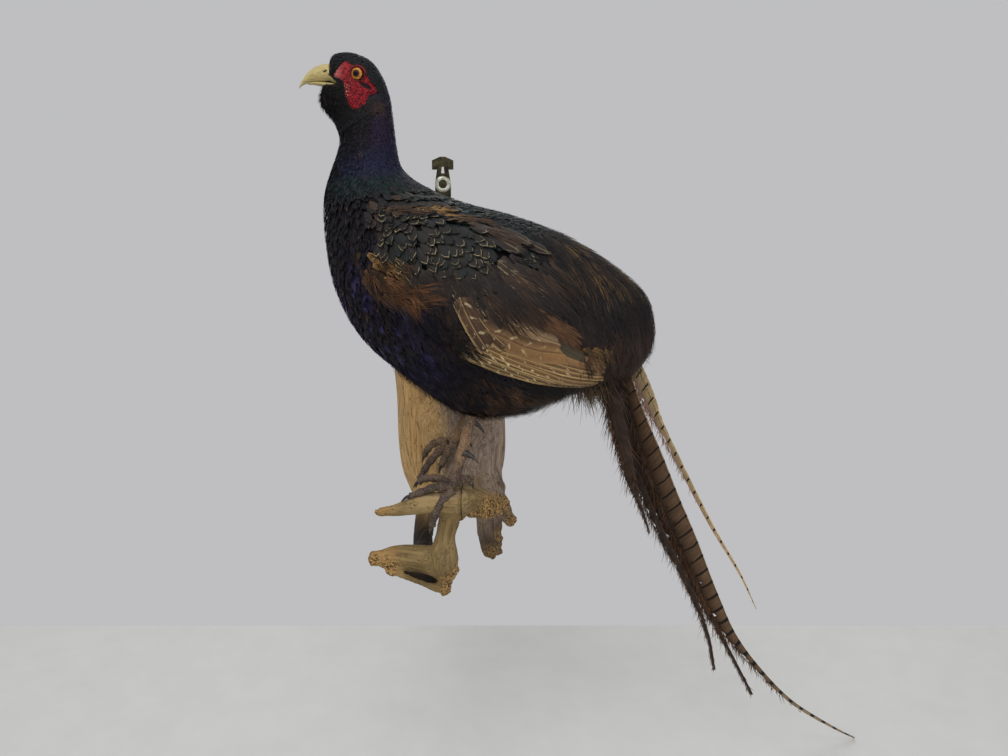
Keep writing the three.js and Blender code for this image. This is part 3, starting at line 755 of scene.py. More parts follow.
def body_tint(t, a, rng):
    """The colour of the coat at each root, with its chance flecks."""
    place = form.at(t, a)[0]
    x, _, z = place.T
    back = smooth((1.35 - np.abs(a)) / 0.5)
    soft = layered(place, 22, 3)
    colour = blend(FACE, CROWN, back)
    neck = blend(INK, PLUM, smooth(0.5 + soft * 0.5 + (back - 0.3) * 0.9))
    colour = blend(colour, neck, smooth((t - 5.0) / 1.6))
    ear = np.exp(-(((x + 38) / 7) ** 2 + ((z - 311) / 6) ** 2)) * (np.abs(np.sin(a)) > 0.4)
    colour = blend(colour, EARTH, 0.75 * ear)
    colour = blend(colour, DEEP_BLUE, smooth((t - 7.3) / 1.0) * smooth(0.75 + soft))
    colour = blend(colour, TEAL, smooth((t - 8.6) / 0.7) * smooth(0.8 + soft * 0.6))
    low = smooth((np.abs(a) - 1.3) / 0.8) * smooth((215 - z) / 60) * smooth((30 - x) / 60)
    breast = blend(INK, VIOLET, low * smooth(0.7 + soft * 1.5))
    # painted glint: a few breast feathers get a brighter violet that stands in for their sheen
    breast = blend(breast, GLINT, low * (rng.random(len(t)) < 0.14) * 0.7)
    colour = blend(colour, breast, smooth((t - 9.4) / 0.7))
    mantle = blend(MANTLE, TEAL, 0.35 + soft * 0.6)
    colour = blend(colour, mantle, smooth((t - 9.3) / 0.6) * smooth((1.45 - np.abs(a)) / 0.35))
    rear = blend(SOOT, DUSK, smooth(0.4 + soft))
    colour = blend(colour, rear, smooth((x - 50) / 50) * smooth((t - 12) / 2))
    flecked = rng.random(len(t)) < np.interp(t, [7, 9, 10, 14], [0, 0.04, 0.1, 0.05])
    colour = np.where(flecked[:, None], blend(colour, EARTH, rng.random(len(t))), colour)
    return colour * (0.85 + 0.3 * rng.random((len(t), 1)))


# ---- feather tracts of the head, neck and trunk ----

def on_face(t, a):
    """Where the head is feathered: off the wattle, the eye and the bill."""
    x, _, z = form.at(t, a)[0].T
    ahead_x, _, ahead_z = form.at(t + 0.3, a)[0].T
    bare = np.maximum(inside(WATTLE, x, z), inside(WATTLE, ahead_x, ahead_z) - 1.0 * (z < 326))
    side = np.abs(np.sin(a)) > 0.25
    clear = (bare < -0.2) | ~side
    eye = np.hypot(x - EYE[0], z - EYE[1]) > IRIS + 2.6
    return clear & (eye | ~side) & (inside(HORN, x, z) < 0.3)


def head_coat():
    coat = Coat("head_coat")
    rng = coat.rng
    t, a = cover(0.02, 6.0, 1.25, rng, on_face)
    size = np.interp(t, [0, 2, 4, 6], [3.0, 3.8, 4.6, 6.0])
    vanes(coat, t, a, size, size * 0.26, body_tint(t, a, rng), coat.marks(len(t), gloss=0.3), rows=4,
          columns=5, sink=0.6, rise=0.15, ragged=0.9, turn=rng.normal(0, 0.16, len(t)))
    t, a = cover(0.2, 5.8, 1.5, rng, lambda t, a: (np.abs(a) > 1.4) & on_face(t, a))
    low = smooth((np.abs(a) - 1.9) / 0.6) * smooth((5.4 - t) / 1.5)
    tint = blend(body_tint(t, a, rng), EARTH, 0.3 * rng.random(len(t)) ** 2)
    strands(coat, t, a, 3.4 + (2 + 4 * rng.random(len(t))) * low, 0.8, tint,
            coat.marks(len(t), gloss=0.1), threads=4, rows=4, width=0.27, sink=0.6, rise=0.7,
            loose=1.3 * low, turn=rng.normal(0, 0.35, len(t)))
    return coat.piece(PLUMAGE, "plumage")


def neck_coat():
    coat = Coat("neck_coat")
    rng = coat.rng
    t, a = cover(5.6, 9.9, 2.2, rng)
    size = np.interp(t, [5.7, 7, 8.5, 9.9], [5.5, 7.5, 10.0, 13.0])
    vanes(coat, t, a, size, size * 0.26, body_tint(t, a, rng) * 0.9,
          coat.marks(len(t), gloss=0.3), rows=5, columns=5, sink=1.6, rise=0.1, camber=0.05,
          ragged=0.9, turn=rng.normal(0, 0.13, len(t)))
    t, a = cover(5.5, 9.9, 2.1, rng)
    size = np.interp(t, [5.7, 7, 8.5, 9.9], [5.5, 7.5, 9.5, 12.0])
    strands(coat, t, a, size, 1.3, body_tint(t, a, rng), coat.marks(len(t), gloss=0.35), threads=5,
            rows=5, width=0.34, sink=1.2, rise=0.35, turn=rng.normal(0, 0.16, len(t)))
    return coat.piece(PLUMAGE, "plumage")


def under_wing(t, a):
    """How far a place lies inside the wing's outline."""
    x, _, z = form.at(t, a)[0].T
    edge = np.vstack([WING[:, 0:2], WING[::-1, 2:4]])
    return np.where(np.abs(np.sin(a)) > 0.3, inside(edge, x, z), -99)


def trunk_coat(name, first, last, gap, length):
    """Short vanes and finer barbs between them, a little way in under the wing too."""
    coat = Coat(name)
    rng = coat.rng
    open_ = lambda t, a: under_wing(t, a) < 9
    t, a = cover(first, last, gap, rng, open_)
    size = np.interp(t, [9.5, 11, 13, 17.6], length) * (0.9 + 0.25 * rng.random(len(t)))
    x = form.at(t, a)[0][:, 0]
    flecks = (np.abs(a) < 1.3) * (x < 84) * (rng.random(len(t)) < 0.3) * np.interp(t, [10, 13], [0.3, 0.9])
    vanes(coat, t, a, size, size * 0.24, body_tint(t, a, rng),
          coat.marks(len(t), lace=flecks * 0.6, gloss=np.interp(t, [10, 14, 17], [0.3, 0.25, 0.12])),
          rows=6, columns=7, sink=4.0, rise=0.15, camber=0.1, ragged=0.9, turn=rng.normal(0, 0.18, len(t)))
    t, a = cover(first, last, gap * 1.25, rng, open_)
    size = np.interp(t, [9.5, 11, 13, 17.6], length) * (0.6 + 0.4 * rng.random(len(t)))
    strands(coat, t, a, size, 2.6, body_tint(t, a, rng), coat.marks(len(t), gloss=0.2), threads=6,
            rows=5, width=0.36, sink=2.5, rise=0.7, turn=rng.normal(0, 0.25, len(t)))
    return coat.piece(PLUMAGE, "plumage")


DOWN = np.array([0.0, 0.0, -1.0])


def rump_coat():
    """Long loose strands that fall from the back over the flanks and the root of the tail."""
    coat = Coat("rump_coat")
    rng = coat.rng

    def rear(t, a):
        x, _, z = form.at(t, a)[0].T
        return (x > 90 + 14 * np.sin(z / 9)) & (np.abs(a) < 2.3)

    t, a = cover(12.2, 17.95, 4.1, rng, rear)
    place = form.at(t, a)[0]
    x, _, z = place.T
    soft = layered(place, 16, 8)
    chance = rng.random(len(t))
    tint = blend(SOOT, DUSK, (chance > 0.55) * (0.6 + soft))
    # the top of the rump gets gold strands: partly golden tips, partly a painted highlight where the top
    # catches the light
    top = smooth((z - 166) / 26) * smooth((x - 84) / 30)
    tint = blend(tint, GOLD, top * (chance > 0.8) * (0.1 + 0.5 * rng.random(len(t))))
    shadow = blend(SOOT, tone(66, 50, 42), smooth((x - 110) / 30))
    tint = blend(tint, shadow, smooth((160 - z) / 30) * 0.6)
    strands(coat, t, a, 42 + 18 * rng.random(len(t)), 3.2, tint, coat.marks(len(t), gloss=0.1),
            threads=8, rows=8, width=0.45, sink=4.0, rise=1.8, heading=DOWN, pull=0.8,
            loose=(2.4 + 4.2 * chance**3) * smooth((t - 14.5) / 2), turn=rng.normal(0, 0.15, len(t)),
            curl=rng.normal(0, 0.28, len(t)))
    return coat.piece(PLUMAGE, "brown_plumage")


def belly_coat():
    """Soft dark fuzz under the belly and round the vent."""
    coat = Coat("belly_coat")
    rng = coat.rng
    t, a = cover(13.5, 17.9, 4.2, rng, lambda t, a: np.abs(a) > 2.0)
    tint = blend(body_tint(t, a, rng), tone(112, 82, 60), smooth((t - 14.0) / 1.0) * rng.random(len(t)))
    strands(coat, t, a, 16 + 10 * rng.random(len(t)), 3.6, tint,
            coat.marks(len(t), gloss=0.05), threads=8, rows=6, width=0.34, sink=4.0, rise=0.5,
            loose=3.4, turn=rng.normal(0, 0.35, len(t)), curl=rng.normal(0, 0.4, len(t)))
    return coat.piece(PLUMAGE, "plumage")


# ---- the skin, with the face ----

def sheet(name, across, along, place, length=1.0):
    """A fine grid bent to place(u, v): u runs round and v along, both from 0 to 1. Each point keeps how
    far along it is, by the given length, and how far round from the seam's far side."""
    bm = bmesh.new()
    bm.loops.layers.uv.new("OFBake")
    far = bm.verts.layers.float.new("far")
    about = bm.verts.layers.float.new("about")
    bmesh.ops.create_grid(bm, x_segments=across, y_segments=along, size=0.5, calc_uvs=True)
    spot = np.array([v.co[:2] for v in bm.verts]) + 0.5
    for vert, co, (u, v) in zip(bm.verts, (place(spot[:, 0], spot[:, 1]) * MM).tolist(), spot.tolist()):
        vert.co = co
        vert[far] = v * length
        vert[about] = abs(2 * u - 1)
    bmesh.ops.remove_doubles(bm, verts=bm.verts, dist=1e-6)
    bmesh.ops.recalc_face_normals(bm, faces=bm.faces)
    return mesh_of(bm, name)


def places_of(mesh):
    co = np.zeros(len(mesh.vertices) * 3)
    mesh.vertices.foreach_get("co", co)
    return co.reshape(-1, 3) / MM


def store(mesh, name, values):
    """Keeps one number for each point of a mesh."""
    layer = mesh.attributes.new(name, "FLOAT", "POINT")
    layer.data.foreach_set("value", np.asarray(values, np.float32))


def pebbles(x, z):
    """Small round bumps over the wattle, with pits between them that the skin's colour paints dark as shade.
    """
    rng = rng_for("pebbles")
    spots = rng.uniform([-80, 300], [-34, 350], (9000, 2))
    kept = []
    for spot in spots:
        gap = 1.35 if spot[1] > 329 else 1.75
        if all(math.dist(spot, other) > gap for other in kept[-900:]):
            kept.append(spot)
    away = np.hypot(x[:, None] - np.array(kept)[:, 0], z[:, None] - np.array(kept)[:, 1])
    near = np.partition(away, 1, axis=1)[:, :2]
    return smooth((near.max(1) - near.min(1)) / 1.1)


def face_shape(place, t):
    """Raises the wattle and the lids and sinks the socket. Gives the places, bareness and pits."""
    x, z = place[:, 0], place[:, 2]
    side = np.sign(place[:, 1] - MID_Y)
    out = np.abs(place[:, 1] - MID_Y)
    head = (t < 6) & (out > 4)
    bare, pit = np.zeros(len(x)), np.ones(len(x))
    deep = np.maximum(inside(WATTLE, x[head], z[head]), -9)
    wedge = inside(FEATHER_WEDGE, x[head], z[head])
    bare[head] = smooth(deep / 0.7 + 0.5) * smooth(0.5 - wedge / 0.7)
    bump = pebbles(x[head], z[head])
    upper = smooth((z[head] - 326) / 8)
    pit[head] = 1 - (1 - bump) * (1 - 0.35 * upper)
    round_eye = np.hypot(x - EYE[0], z - EYE[1])
    out[head] *= 1 - 0.45 * smooth(inside(HORN, x[head], z[head]) / 2.0 + 0.2)
    out[head] += smooth(deep / 2.2) * (1.0 + 0.7 * (pit[head] - 0.6)) * smooth(0.6 - wedge / 0.8)
    ball = EYE_OUT + np.sqrt(np.maximum(EYE_RADIUS**2 - round_eye**2, 0))
    lid = np.exp(-(((round_eye - IRIS - 1.0) / 0.75) ** 2))
    fold = np.exp(-(((round_eye - IRIS - 2.7) / 0.5) ** 2))
    near = head & (round_eye < 13)
    rest = out.copy()
    rim = EYE_OUT + math.sqrt(EYE_RADIUS**2 - IRIS**2) + 0.9
    edge = smooth((round_eye - IRIS) / 4.2)
    out = np.where(near, rim * (1 - edge) + rest * edge + 0.75 * lid - 0.35 * fold, out)
    sunk = near & (round_eye < IRIS + 0.25)
    out = np.where(sunk, np.minimum(out, ball - 1.2), out)
    place = place.copy()
    place[:, 1] = MID_Y + side * out
    bare = np.maximum(bare, near * smooth((IRIS + 2.4 - round_eye) / 0.6))
    return place, bare, pit, near * lid


def skin():
    """One skin under the coat, from the bill to the root of the tail, with the bare face."""
    across, along = 230, 300
    cap = 0.012

    def station(v):
        """Where along the body each row lies; the rows of the head are the closest."""
        s = np.clip((v - cap) / (1 - 2 * cap), 0, 1)
        return np.interp(s, [0, 0.42, 0.58, 1], [0, 5.2, 9, LAST])

    def place(u, v):
        t, a = station(v), (u - 0.5) * 2 * PI
        spot, normal = form.at(t, a)
        spot = spot - normal * np.interp(t, *COAT_DEPTH)[:, None]
        ends = np.sqrt(np.clip(np.minimum(v, 1 - v) / cap, 0, 1))[:, None]
        row = through(STATIONS, t)
        x, z = ((row[:, k] + row[:, k + 2]) / 2 for k in (0, 1))
        middle = np.stack([x, np.full(len(t), MID_Y), z], 1)
        spot = middle + (spot - middle) * ends
        return face_shape(spot, t)[0]

    mesh = sheet("skin", across, along, place)
    where = places_of(mesh)
    rough_t = np.where(where[:, 2] > 290, 3.0, 12.0)  # a station of the head, or one of the trunk
    for field, values in zip(("bare", "pit", "lid"), face_shape(where, rough_t)[1:]):
        store(mesh, field, values)
    nodes = ["head", "neck", "trunk", "rump", "wing_left", "wing_right", "thigh_left", "thigh_right"]
    return piece("skin", mesh, skin_finish(), nodes)


def skin_finish():
    f = Finish("skin", {"Specular IOR Level": 0.12})
    where = f.space()
    bare, pit, lid = (f.attribute(name, 2) for name in ("bare", "pit", "lid"))
    height = f.split(where)[2]
    mottle = f.noise(where, 420.0, 3.0)
    red = f.mix((82, 12, 20), (156, 34, 42), mottle.between(0.3, 0.7))
    # painted shade: the upper wattle, which faces up to the overhead light, is painted a darker red
    upper_shade_red = f.mix((72, 14, 18), (138, 36, 40), mottle.between(0.35, 0.62))
    red = f.mix(red, upper_shade_red, height.between(0.325, 0.331))
    # painted highlight: a pale pink patch on the front of the upper wattle
    pale = height.between(0.328, 0.331) * (-f.split(where)[0]).between(0.066, 0.073)
    red = f.mix(red, (170, 96, 92), pale * 0.7)
    # painted shade: the pits between the wattle's bumps are painted a dark red
    red = f.mix((54, 10, 16), red, pit.between(0.15, 0.6))
    cheek = height.between(0.315, 0.319) * (1.0 - height.between(0.325, 0.328))
    dots = cheek * (-f.split(where)[0]).between(0.0605, 0.0645) * pit.between(0.6, 0.9)
    red = f.mix(red, (182, 130, 112), dots * 0.6)
    red = f.mix(red, (30, 16, 14), lid.between(0.55, 0.95) * 0.85)
    under = f.mix((16, 14, 15), (34, 28, 30), f.noise(where, 90.0))
    f.paint({"Base Color": f.mix(under, red, bare), "Roughness": 0.8 - 0.15 * bare})
    f.bump(mottle * 0.6 + pit * 0.4, 0.4, 0.0004)
    return f.material


# ---- wings ----

TAN = tone(122, 92, 60)
OLIVE = tone(98, 78, 52)
COVERT = tone(48, 40, 35)
DARK_COVERT = tone(32, 28, 27)
CREAM = tone(222, 202, 156)
NOTCH_GAP = 13.0  # mm along the shaft

# The long feathers of the folded wing, lowest first: the shaft as x and z of the side view, the width
# below the shaft and above it, the height over the form, the colours of root and tip, and how strong
# the pale notches and the pale shaft are.
BLADES = [
    [[[30, 106], [41, 100.5], [53, 95.5], [65, 90.5], [78, 87], [95, 81.5], [109, 79.5], [122, 79]],
     1.6, 9, 0.2, OLIVE, TAN, 1.0, 1.0],
    [[[33, 109.5], [53, 99.5], [77, 90.5], [98, 84], [118, 79.5], [132, 77.5]],
     4.0, 9, 0.6, OLIVE, TAN, 1.0, 1.0],
    [[[34, 114], [53, 104], [75, 95.5], [95, 87.5], [116, 81], [137, 77.5]],
     4.5, 9, 1.0, OLIVE, TAN, 1.0, 0.8],
    [[[40, 116], [65, 105], [87, 96.5], [103, 90.5], [127, 82], [146, 77.5]],
     4.5, 9, 1.4, OLIVE, TAN, 1.0, 1.0],
    [[[50, 116], [77, 103.5], [99, 94.5], [123, 85], [149, 79]], 4.5, 9, 1.8, TAN, TAN, 0.7, 0.7],
    [[[66, 112], [103, 99], [127, 91.5], [152, 85]], 4.5, 8, 2.1, TAN, TAN, 0.4, 0.9],
    [[[70, 116], [101, 104], [122, 97], [148, 88.5]], 4.0, 8, 2.4, OLIVE, TAN, 0.3, 0.9],
    [[[92, 118], [128, 102], [152, 94.5]], 6, 6, 2.6, TAN, tone(136, 100, 68), 0.0, 0.2],
    [[[86, 130], [112, 114], [134, 100.5]], 6, 7, 2.5, COVERT, tone(74, 66, 48), 0.0, 0.0],
    [[[60, 142], [80, 132], [98, 122.5], [113, 117]], 6.5, 6, 2.8, TAN, tone(122, 100, 76), 0.2, 0.3],
    [[[41, 150], [48, 139], [57, 128], [69, 117]],
     6.5, 8, 3.1, tone(78, 57, 40), tone(74, 53, 37), 0.15, 0.6],
    [[[36, 138], [50, 131], [68, 123], [81, 116.5], [96, 111.5], [117, 108.5]], 8.5, 8.5, 3.4,
     tone(82, 60, 41), tone(134, 100, 62), 0.3, 0.1],
    [[[32, 156], [36, 146], [45, 129], [54, 115]],
     6.5, 9, 3.7, tone(84, 62, 44), tone(66, 47, 34), 0.35, 0.5],
    # one that stands out among the shoulder coverts
    [[[62, 183], [80, 170], [102, 157]], 4, 5, 2.9, tone(50, 43, 38), tone(60, 52, 46), 0.12, 0.5],
]
# Big dark shoulder feathers: root x and z, direction, length and half width.
DARK_SCAPULARS = [
    [54, 204, -46, 33, 8.5], [64, 209, -42, 32, 7.5], [42, 212, -44, 30, 7.5], [80, 200, -44, 30, 7],
]

# Outlines in the side view, as x and z, of where each kind of shoulder and flank plumage lies.
MEDIAN_ROOTS = [
    [-26, 188], [0, 180], [40, 176], [66, 188], [80, 182], [74, 162], [44, 152], [16, 154], [-8, 162],
]
HAIR_ROOTS = [[44, 160], [62, 168], [80, 176], [102, 182], [110, 166], [94, 146], [66, 142], [50, 148]]
LACED_TIPS = [
    [-32, 222], [-32, 190], [-22, 179], [8, 170], [42, 170], [60, 182], [58, 196], [34, 208], [10, 220],
]
GOLD_ROOTS = [[-44, 190], [-20, 186], [-8, 178], [-16, 168], [-44, 172]]
RUST_ROOTS = [[-50, 178], [-24, 172], [6, 158], [2, 148], [-28, 152], [-48, 162]]
WING_FRONT = [
    [-12, 152], [10, 156], [28, 152], [33, 138], [40, 124], [46, 110], [30, 104], [2, 114], [-14, 134],
]
SHOULDER_TOP = [[-48, 218], [-44, 232], [-20, 238], [8, 236], [26, 228], [24, 218], [-8, 220], [-34, 214]]
SHOULDER_LINE = [[-32, 222], [-8, 222], [12, 223], [32, 218], [50, 212], [74, 202]]


def plot(outline, gap, rng):
    """Evenly spaced, slightly shaken places inside an outline of the side view."""
    outline = np.array(outline, float)
    low, high = outline.min(0), outline.max(0)
    x, z = np.meshgrid(np.arange(low[0], high[0] + gap, gap), np.arange(low[1], high[1] + gap, gap * 0.87))
    x = x + (np.arange(len(x)) % 2)[:, None] * gap / 2
    x, z = (part.ravel() + rng.normal(0, gap * 0.13, part.size) for part in (x, z))
    kept = inside(outline, x, z) > 0
    return x[kept], z[kept]


def headings(degrees):
    angle = np.radians(degrees)
    return np.stack([np.cos(angle), np.zeros(len(angle)), np.sin(angle)], -1)


def blade(coat, side, points, low, high, height, first, last, notches, shaft):
    """Adds one long wing feather along a shaft given in the side view."""
    count, columns = 48, 13
    line, way = path([[x, 0, z] for x, z in points], count)
    line, way = line[:, [0, 2]], unit(way[:, [0, 2]])
    s = np.linspace(0, 1, count)[:, None]
    u = np.linspace(-1, 1, columns)[None, :]
    wide = np.where(u < 0, low, high)
    close = np.sqrt(np.maximum(1 - np.clip((s - 0.88 + 0.05 * u) / 0.12, 0, 1) ** 2.6, 0.003))
    across = u * wide * close
    length = length_of(line)
    spots = np.stack(np.broadcast_arrays(s * length, np.sign(u) * 30, height * 9), -1)
    ahead = np.abs(across) * 0.45 * (1 - 0.6 * s) + grain(spots, 2.2, 3) * np.abs(u) ** 4 * 1.8
    beside = np.stack([-way[:, 1], way[:, 0]], -1)
    point = line[:, None] + beside[:, None] * across[..., None] + way[:, None] * ahead[..., None]
    t, a = form.locate(point[..., 0], point[..., 1], side)
    place, normal = form.at(t, a)
    lift = height + 0.5 * s - 0.07 * wide * u**2 + 0.25 * (np.abs(u) < 0.05)
    place = place + normal * lift[..., None]
    tint = blend(first, last, np.broadcast_to(s, across.shape))
    vane = np.stack(np.broadcast_arrays(0.5 + 0.5 * u, s * length / NOTCH_GAP), -1)
    t, a = form.locate(line[:1, 0], line[:1, 1], side)
    coat.add(place[None], tint[None], coat.marks(1, notches, shaft, 0.05), patch_of(t, a), vane[None])


def tract(coat, side, x, z, degrees, length, half, tint, lace=0.0, streak=0.0, rise=3.8, ragged=0.8):
    """Adds short feathers over the wing's face, rooted at x and z and pointing by degrees."""
    rng, many = coat.rng, len(x)
    t, a = form.locate(x, z, side)
    heading = headings(np.broadcast_to(degrees, many) + rng.normal(0, 6, many))
    vanes(coat, t, a, length * (0.85 + 0.3 * rng.random(many)), half, tint,
          coat.marks(many, lace, streak, 0.1), rows=9, columns=9, sink=2.4 - rise, rise=rise,
          ragged=ragged, camber=0.12, heading=heading, pull=1.0)


def locks(coat, side, x, z, degrees, length, half, tint, threads=8, width=0.42, rise=4.2, loose=0.6):
    """Adds hair-like barbs over the wing's face, rooted at x and z and pointing by degrees."""
    rng, many = coat.rng, len(x)
    t, a = form.locate(x, z, side)
    heading = headings(np.broadcast_to(degrees, many) + rng.normal(0, 7, many))
    strands(coat, t, a, length * (0.8 + 0.4 * rng.random(many)), half, tint,
            coat.marks(many, gloss=0.05), threads=threads, rows=8, width=width, sink=1.0 - rise,
            rise=rise, loose=loose, heading=heading, pull=1.0, curl=rng.normal(-0.1, 0.2, many))


def wing(name):
    rng = rng_for("wing")
    side = SIDES[name]
    coat = Coat(f"quills_{name}", rng)
    for facts in BLADES:
        blade(coat, side, *facts)
    coat.piece(QUILL, "brown_plumage")

    coat = Coat(f"coverts_{name}", rng)
    shade = lambda colour, many: np.asarray(colour) * (0.7 + 0.6 * rng.random((many, 1)))
    x, z = plot(MEDIAN_ROOTS, 8.5, rng)
    tint = blend(COVERT, DARK_COVERT, rng.random(len(x))) * (0.8 + 0.4 * rng.random((len(x), 1)))
    thin = 0.7 * (rng.random(len(x)) < 0.5)
    tract(coat, side, x, z, np.interp(x, [-20, 80], [-60, -46]), 25, 6.4, tint, streak=thin, rise=3.6)
    x, z = plot(LACED_TIPS, 6.9, rng)
    degrees = np.interp(x, [-35, 0, 60], [-74, -64, -44])
    back = headings(degrees)[:, [0, 2]] * 12.5
    tint = shade(blend(MANTLE, SOOT, np.array(0.3)), len(x))
    tint = blend(tint, EARTH, 0.25 * rng.random(len(x)) ** 2) * 0.78
    edge = (rng.random(len(x)) < 0.8) * (0.3 + 0.6 * rng.random(len(x)))
    tract(coat, side, x - back[:, 0], z - back[:, 1], degrees + rng.normal(0, 15, len(x)), 16, 4.7, tint,
          lace=edge, rise=3.6 + 0.5 * rng.random(len(x)), ragged=0.45)
    x, z, degrees, length, half = np.array(DARK_SCAPULARS, float).T
    tint = blend(SOOT, COVERT, 0.3 + 0.4 * rng.random(len(x)))
    tract(coat, side, x, z, degrees, length, half, tint, lace=0.22, streak=0.3, rise=3.4)
    coat.rng = few = rng_for("shoulder_top")
    x, z = plot(SHOULDER_TOP, 4.6, few)
    t, a = form.locate(x, z, side)
    tint = blend(body_tint(t, a, few) * 0.8, EARTH, 0.3 * few.random(len(x)) ** 3)
    tract(coat, side, x, z, -52 + few.normal(0, 14, len(x)), 12, 3.3, tint, lace=0.25, rise=3.6)
    coat.piece(LACED, "brown_plumage")

    coat = Coat(f"wing_hair_{name}", rng)
    x, z = plot(MEDIAN_ROOTS, 6.5, rng)
    tint = blend(DARK_COVERT, COVERT, rng.random(len(x)) * 1.4)
    locks(coat, side, x, z, np.interp(x, [-20, 80], [-62, -46]), 19, 3.2, tint, width=0.34, rise=4.0)
    x, z = plot(HAIR_ROOTS, 5.4, rng)
    tint = blend(DARK_COVERT, EARTH, smooth(rng.random(len(x)) * 1.4 - 0.4))
    locks(coat, side, x, z, np.interp(x, [40, 100], [-50, -42]), 33, 3.6, tint, threads=9)
    x, z = plot(GOLD_ROOTS, 4.6, rng)
    tint = blend(EARTH * np.array(0.7), GOLD, rng.random(len(x)) ** 1.5)
    locks(coat, side, x, z, -38 + rng.normal(0, 14, len(x)), 13, 3.0, tint,
          width=0.32, rise=3.6, loose=1.2)
    x, z = plot(RUST_ROOTS, 5.2, rng)
    tint = blend(DUSK, RUST, rng.random(len(x)))
    degrees = np.interp(x, [-45, 5], [-34, -12]) + rng.normal(0, 20, len(x))
    locks(coat, side, x, z, degrees, 22, 3.6, tint, threads=11, width=0.28, rise=4.0, loose=3.0)
    x, z = plot(WING_FRONT, 4.8, rng)
    t, a = form.locate(x, z, side)
    tint = blend(body_tint(t, a, rng) * 0.9, EARTH, smooth((x - 6) / 20) * rng.random(len(x)) ** 2)
    locks(coat, side, x, z, -56 + rng.normal(0, 12, len(x)), 14, 3.0, tint,
          threads=9, width=0.34, rise=3.9)
    line = path([[x, 0, z] for x, z in SHOULDER_LINE], 60)[0]
    x, z = line[:, 0], line[:, 2] + rng.normal(0, 1.5, 60) - 6 * rng.random(60) * (line[:, 0] > 18)
    tint = blend(EARTH, GOLD, np.exp(-(((x - 12) / 14) ** 2)) * rng.random(60))
    degrees = np.interp(x, [-30, 10, 60], [2, -8, -30])
    locks(coat, side, x, z, degrees, 15, 1.7, tint, threads=5, rise=3.9)
    x, z = rng.uniform(86, 122, 48), rng.uniform(-6, 7, 48)
    tint = blend(EARTH, tone(112, 78, 52), rng.random(48) * 0.9)
    locks(coat, side, x, z + 149 - 0.7 * (x - 84), -38, 19, 3.0, tint, threads=9, rise=3.2)
    x, z = rng.uniform(132, 180, 70), rng.uniform(96, 112, 70)
    tint = blend(EARTH, SOOT, rng.random(70) * 1.6 - 0.2) * (0.8 + 0.6 * rng.random((70, 1)))
    locks(coat, side, x, z, rng.uniform(-105, -40, 70), 15, 1.5, tint,
          threads=7, width=0.3, rise=2.6, loose=2.0)
    x, z = rng.uniform(128, 158, 44), rng.uniform(92, 112, 44)
    tint = blend(GOLD * np.array(0.6), SOOT, 0.2 + rng.random(44))
    locks(coat, side, x, z, rng.uniform(-90, -20, 44), 10, 2.0, tint,
          threads=9, width=0.22, rise=3.2, loose=2.6)
    coat.piece(PLUMAGE, "brown_plumage")


# ---- tail ----

TAIL_BROWN = tone(100, 77, 56)
TAIL_EDGE = tone(168, 150, 118)
TAIL_DARK = tone(50, 37, 29)
TAIL_TAN = tone(172, 150, 110)
PINK_BROWN = tone(150, 122, 108)
BLUNT = [3.2, 5.6, 7.2, 8.0, 8.0, 7.6, 6.8, 5.6, 4.0, 2.0, 0.8]
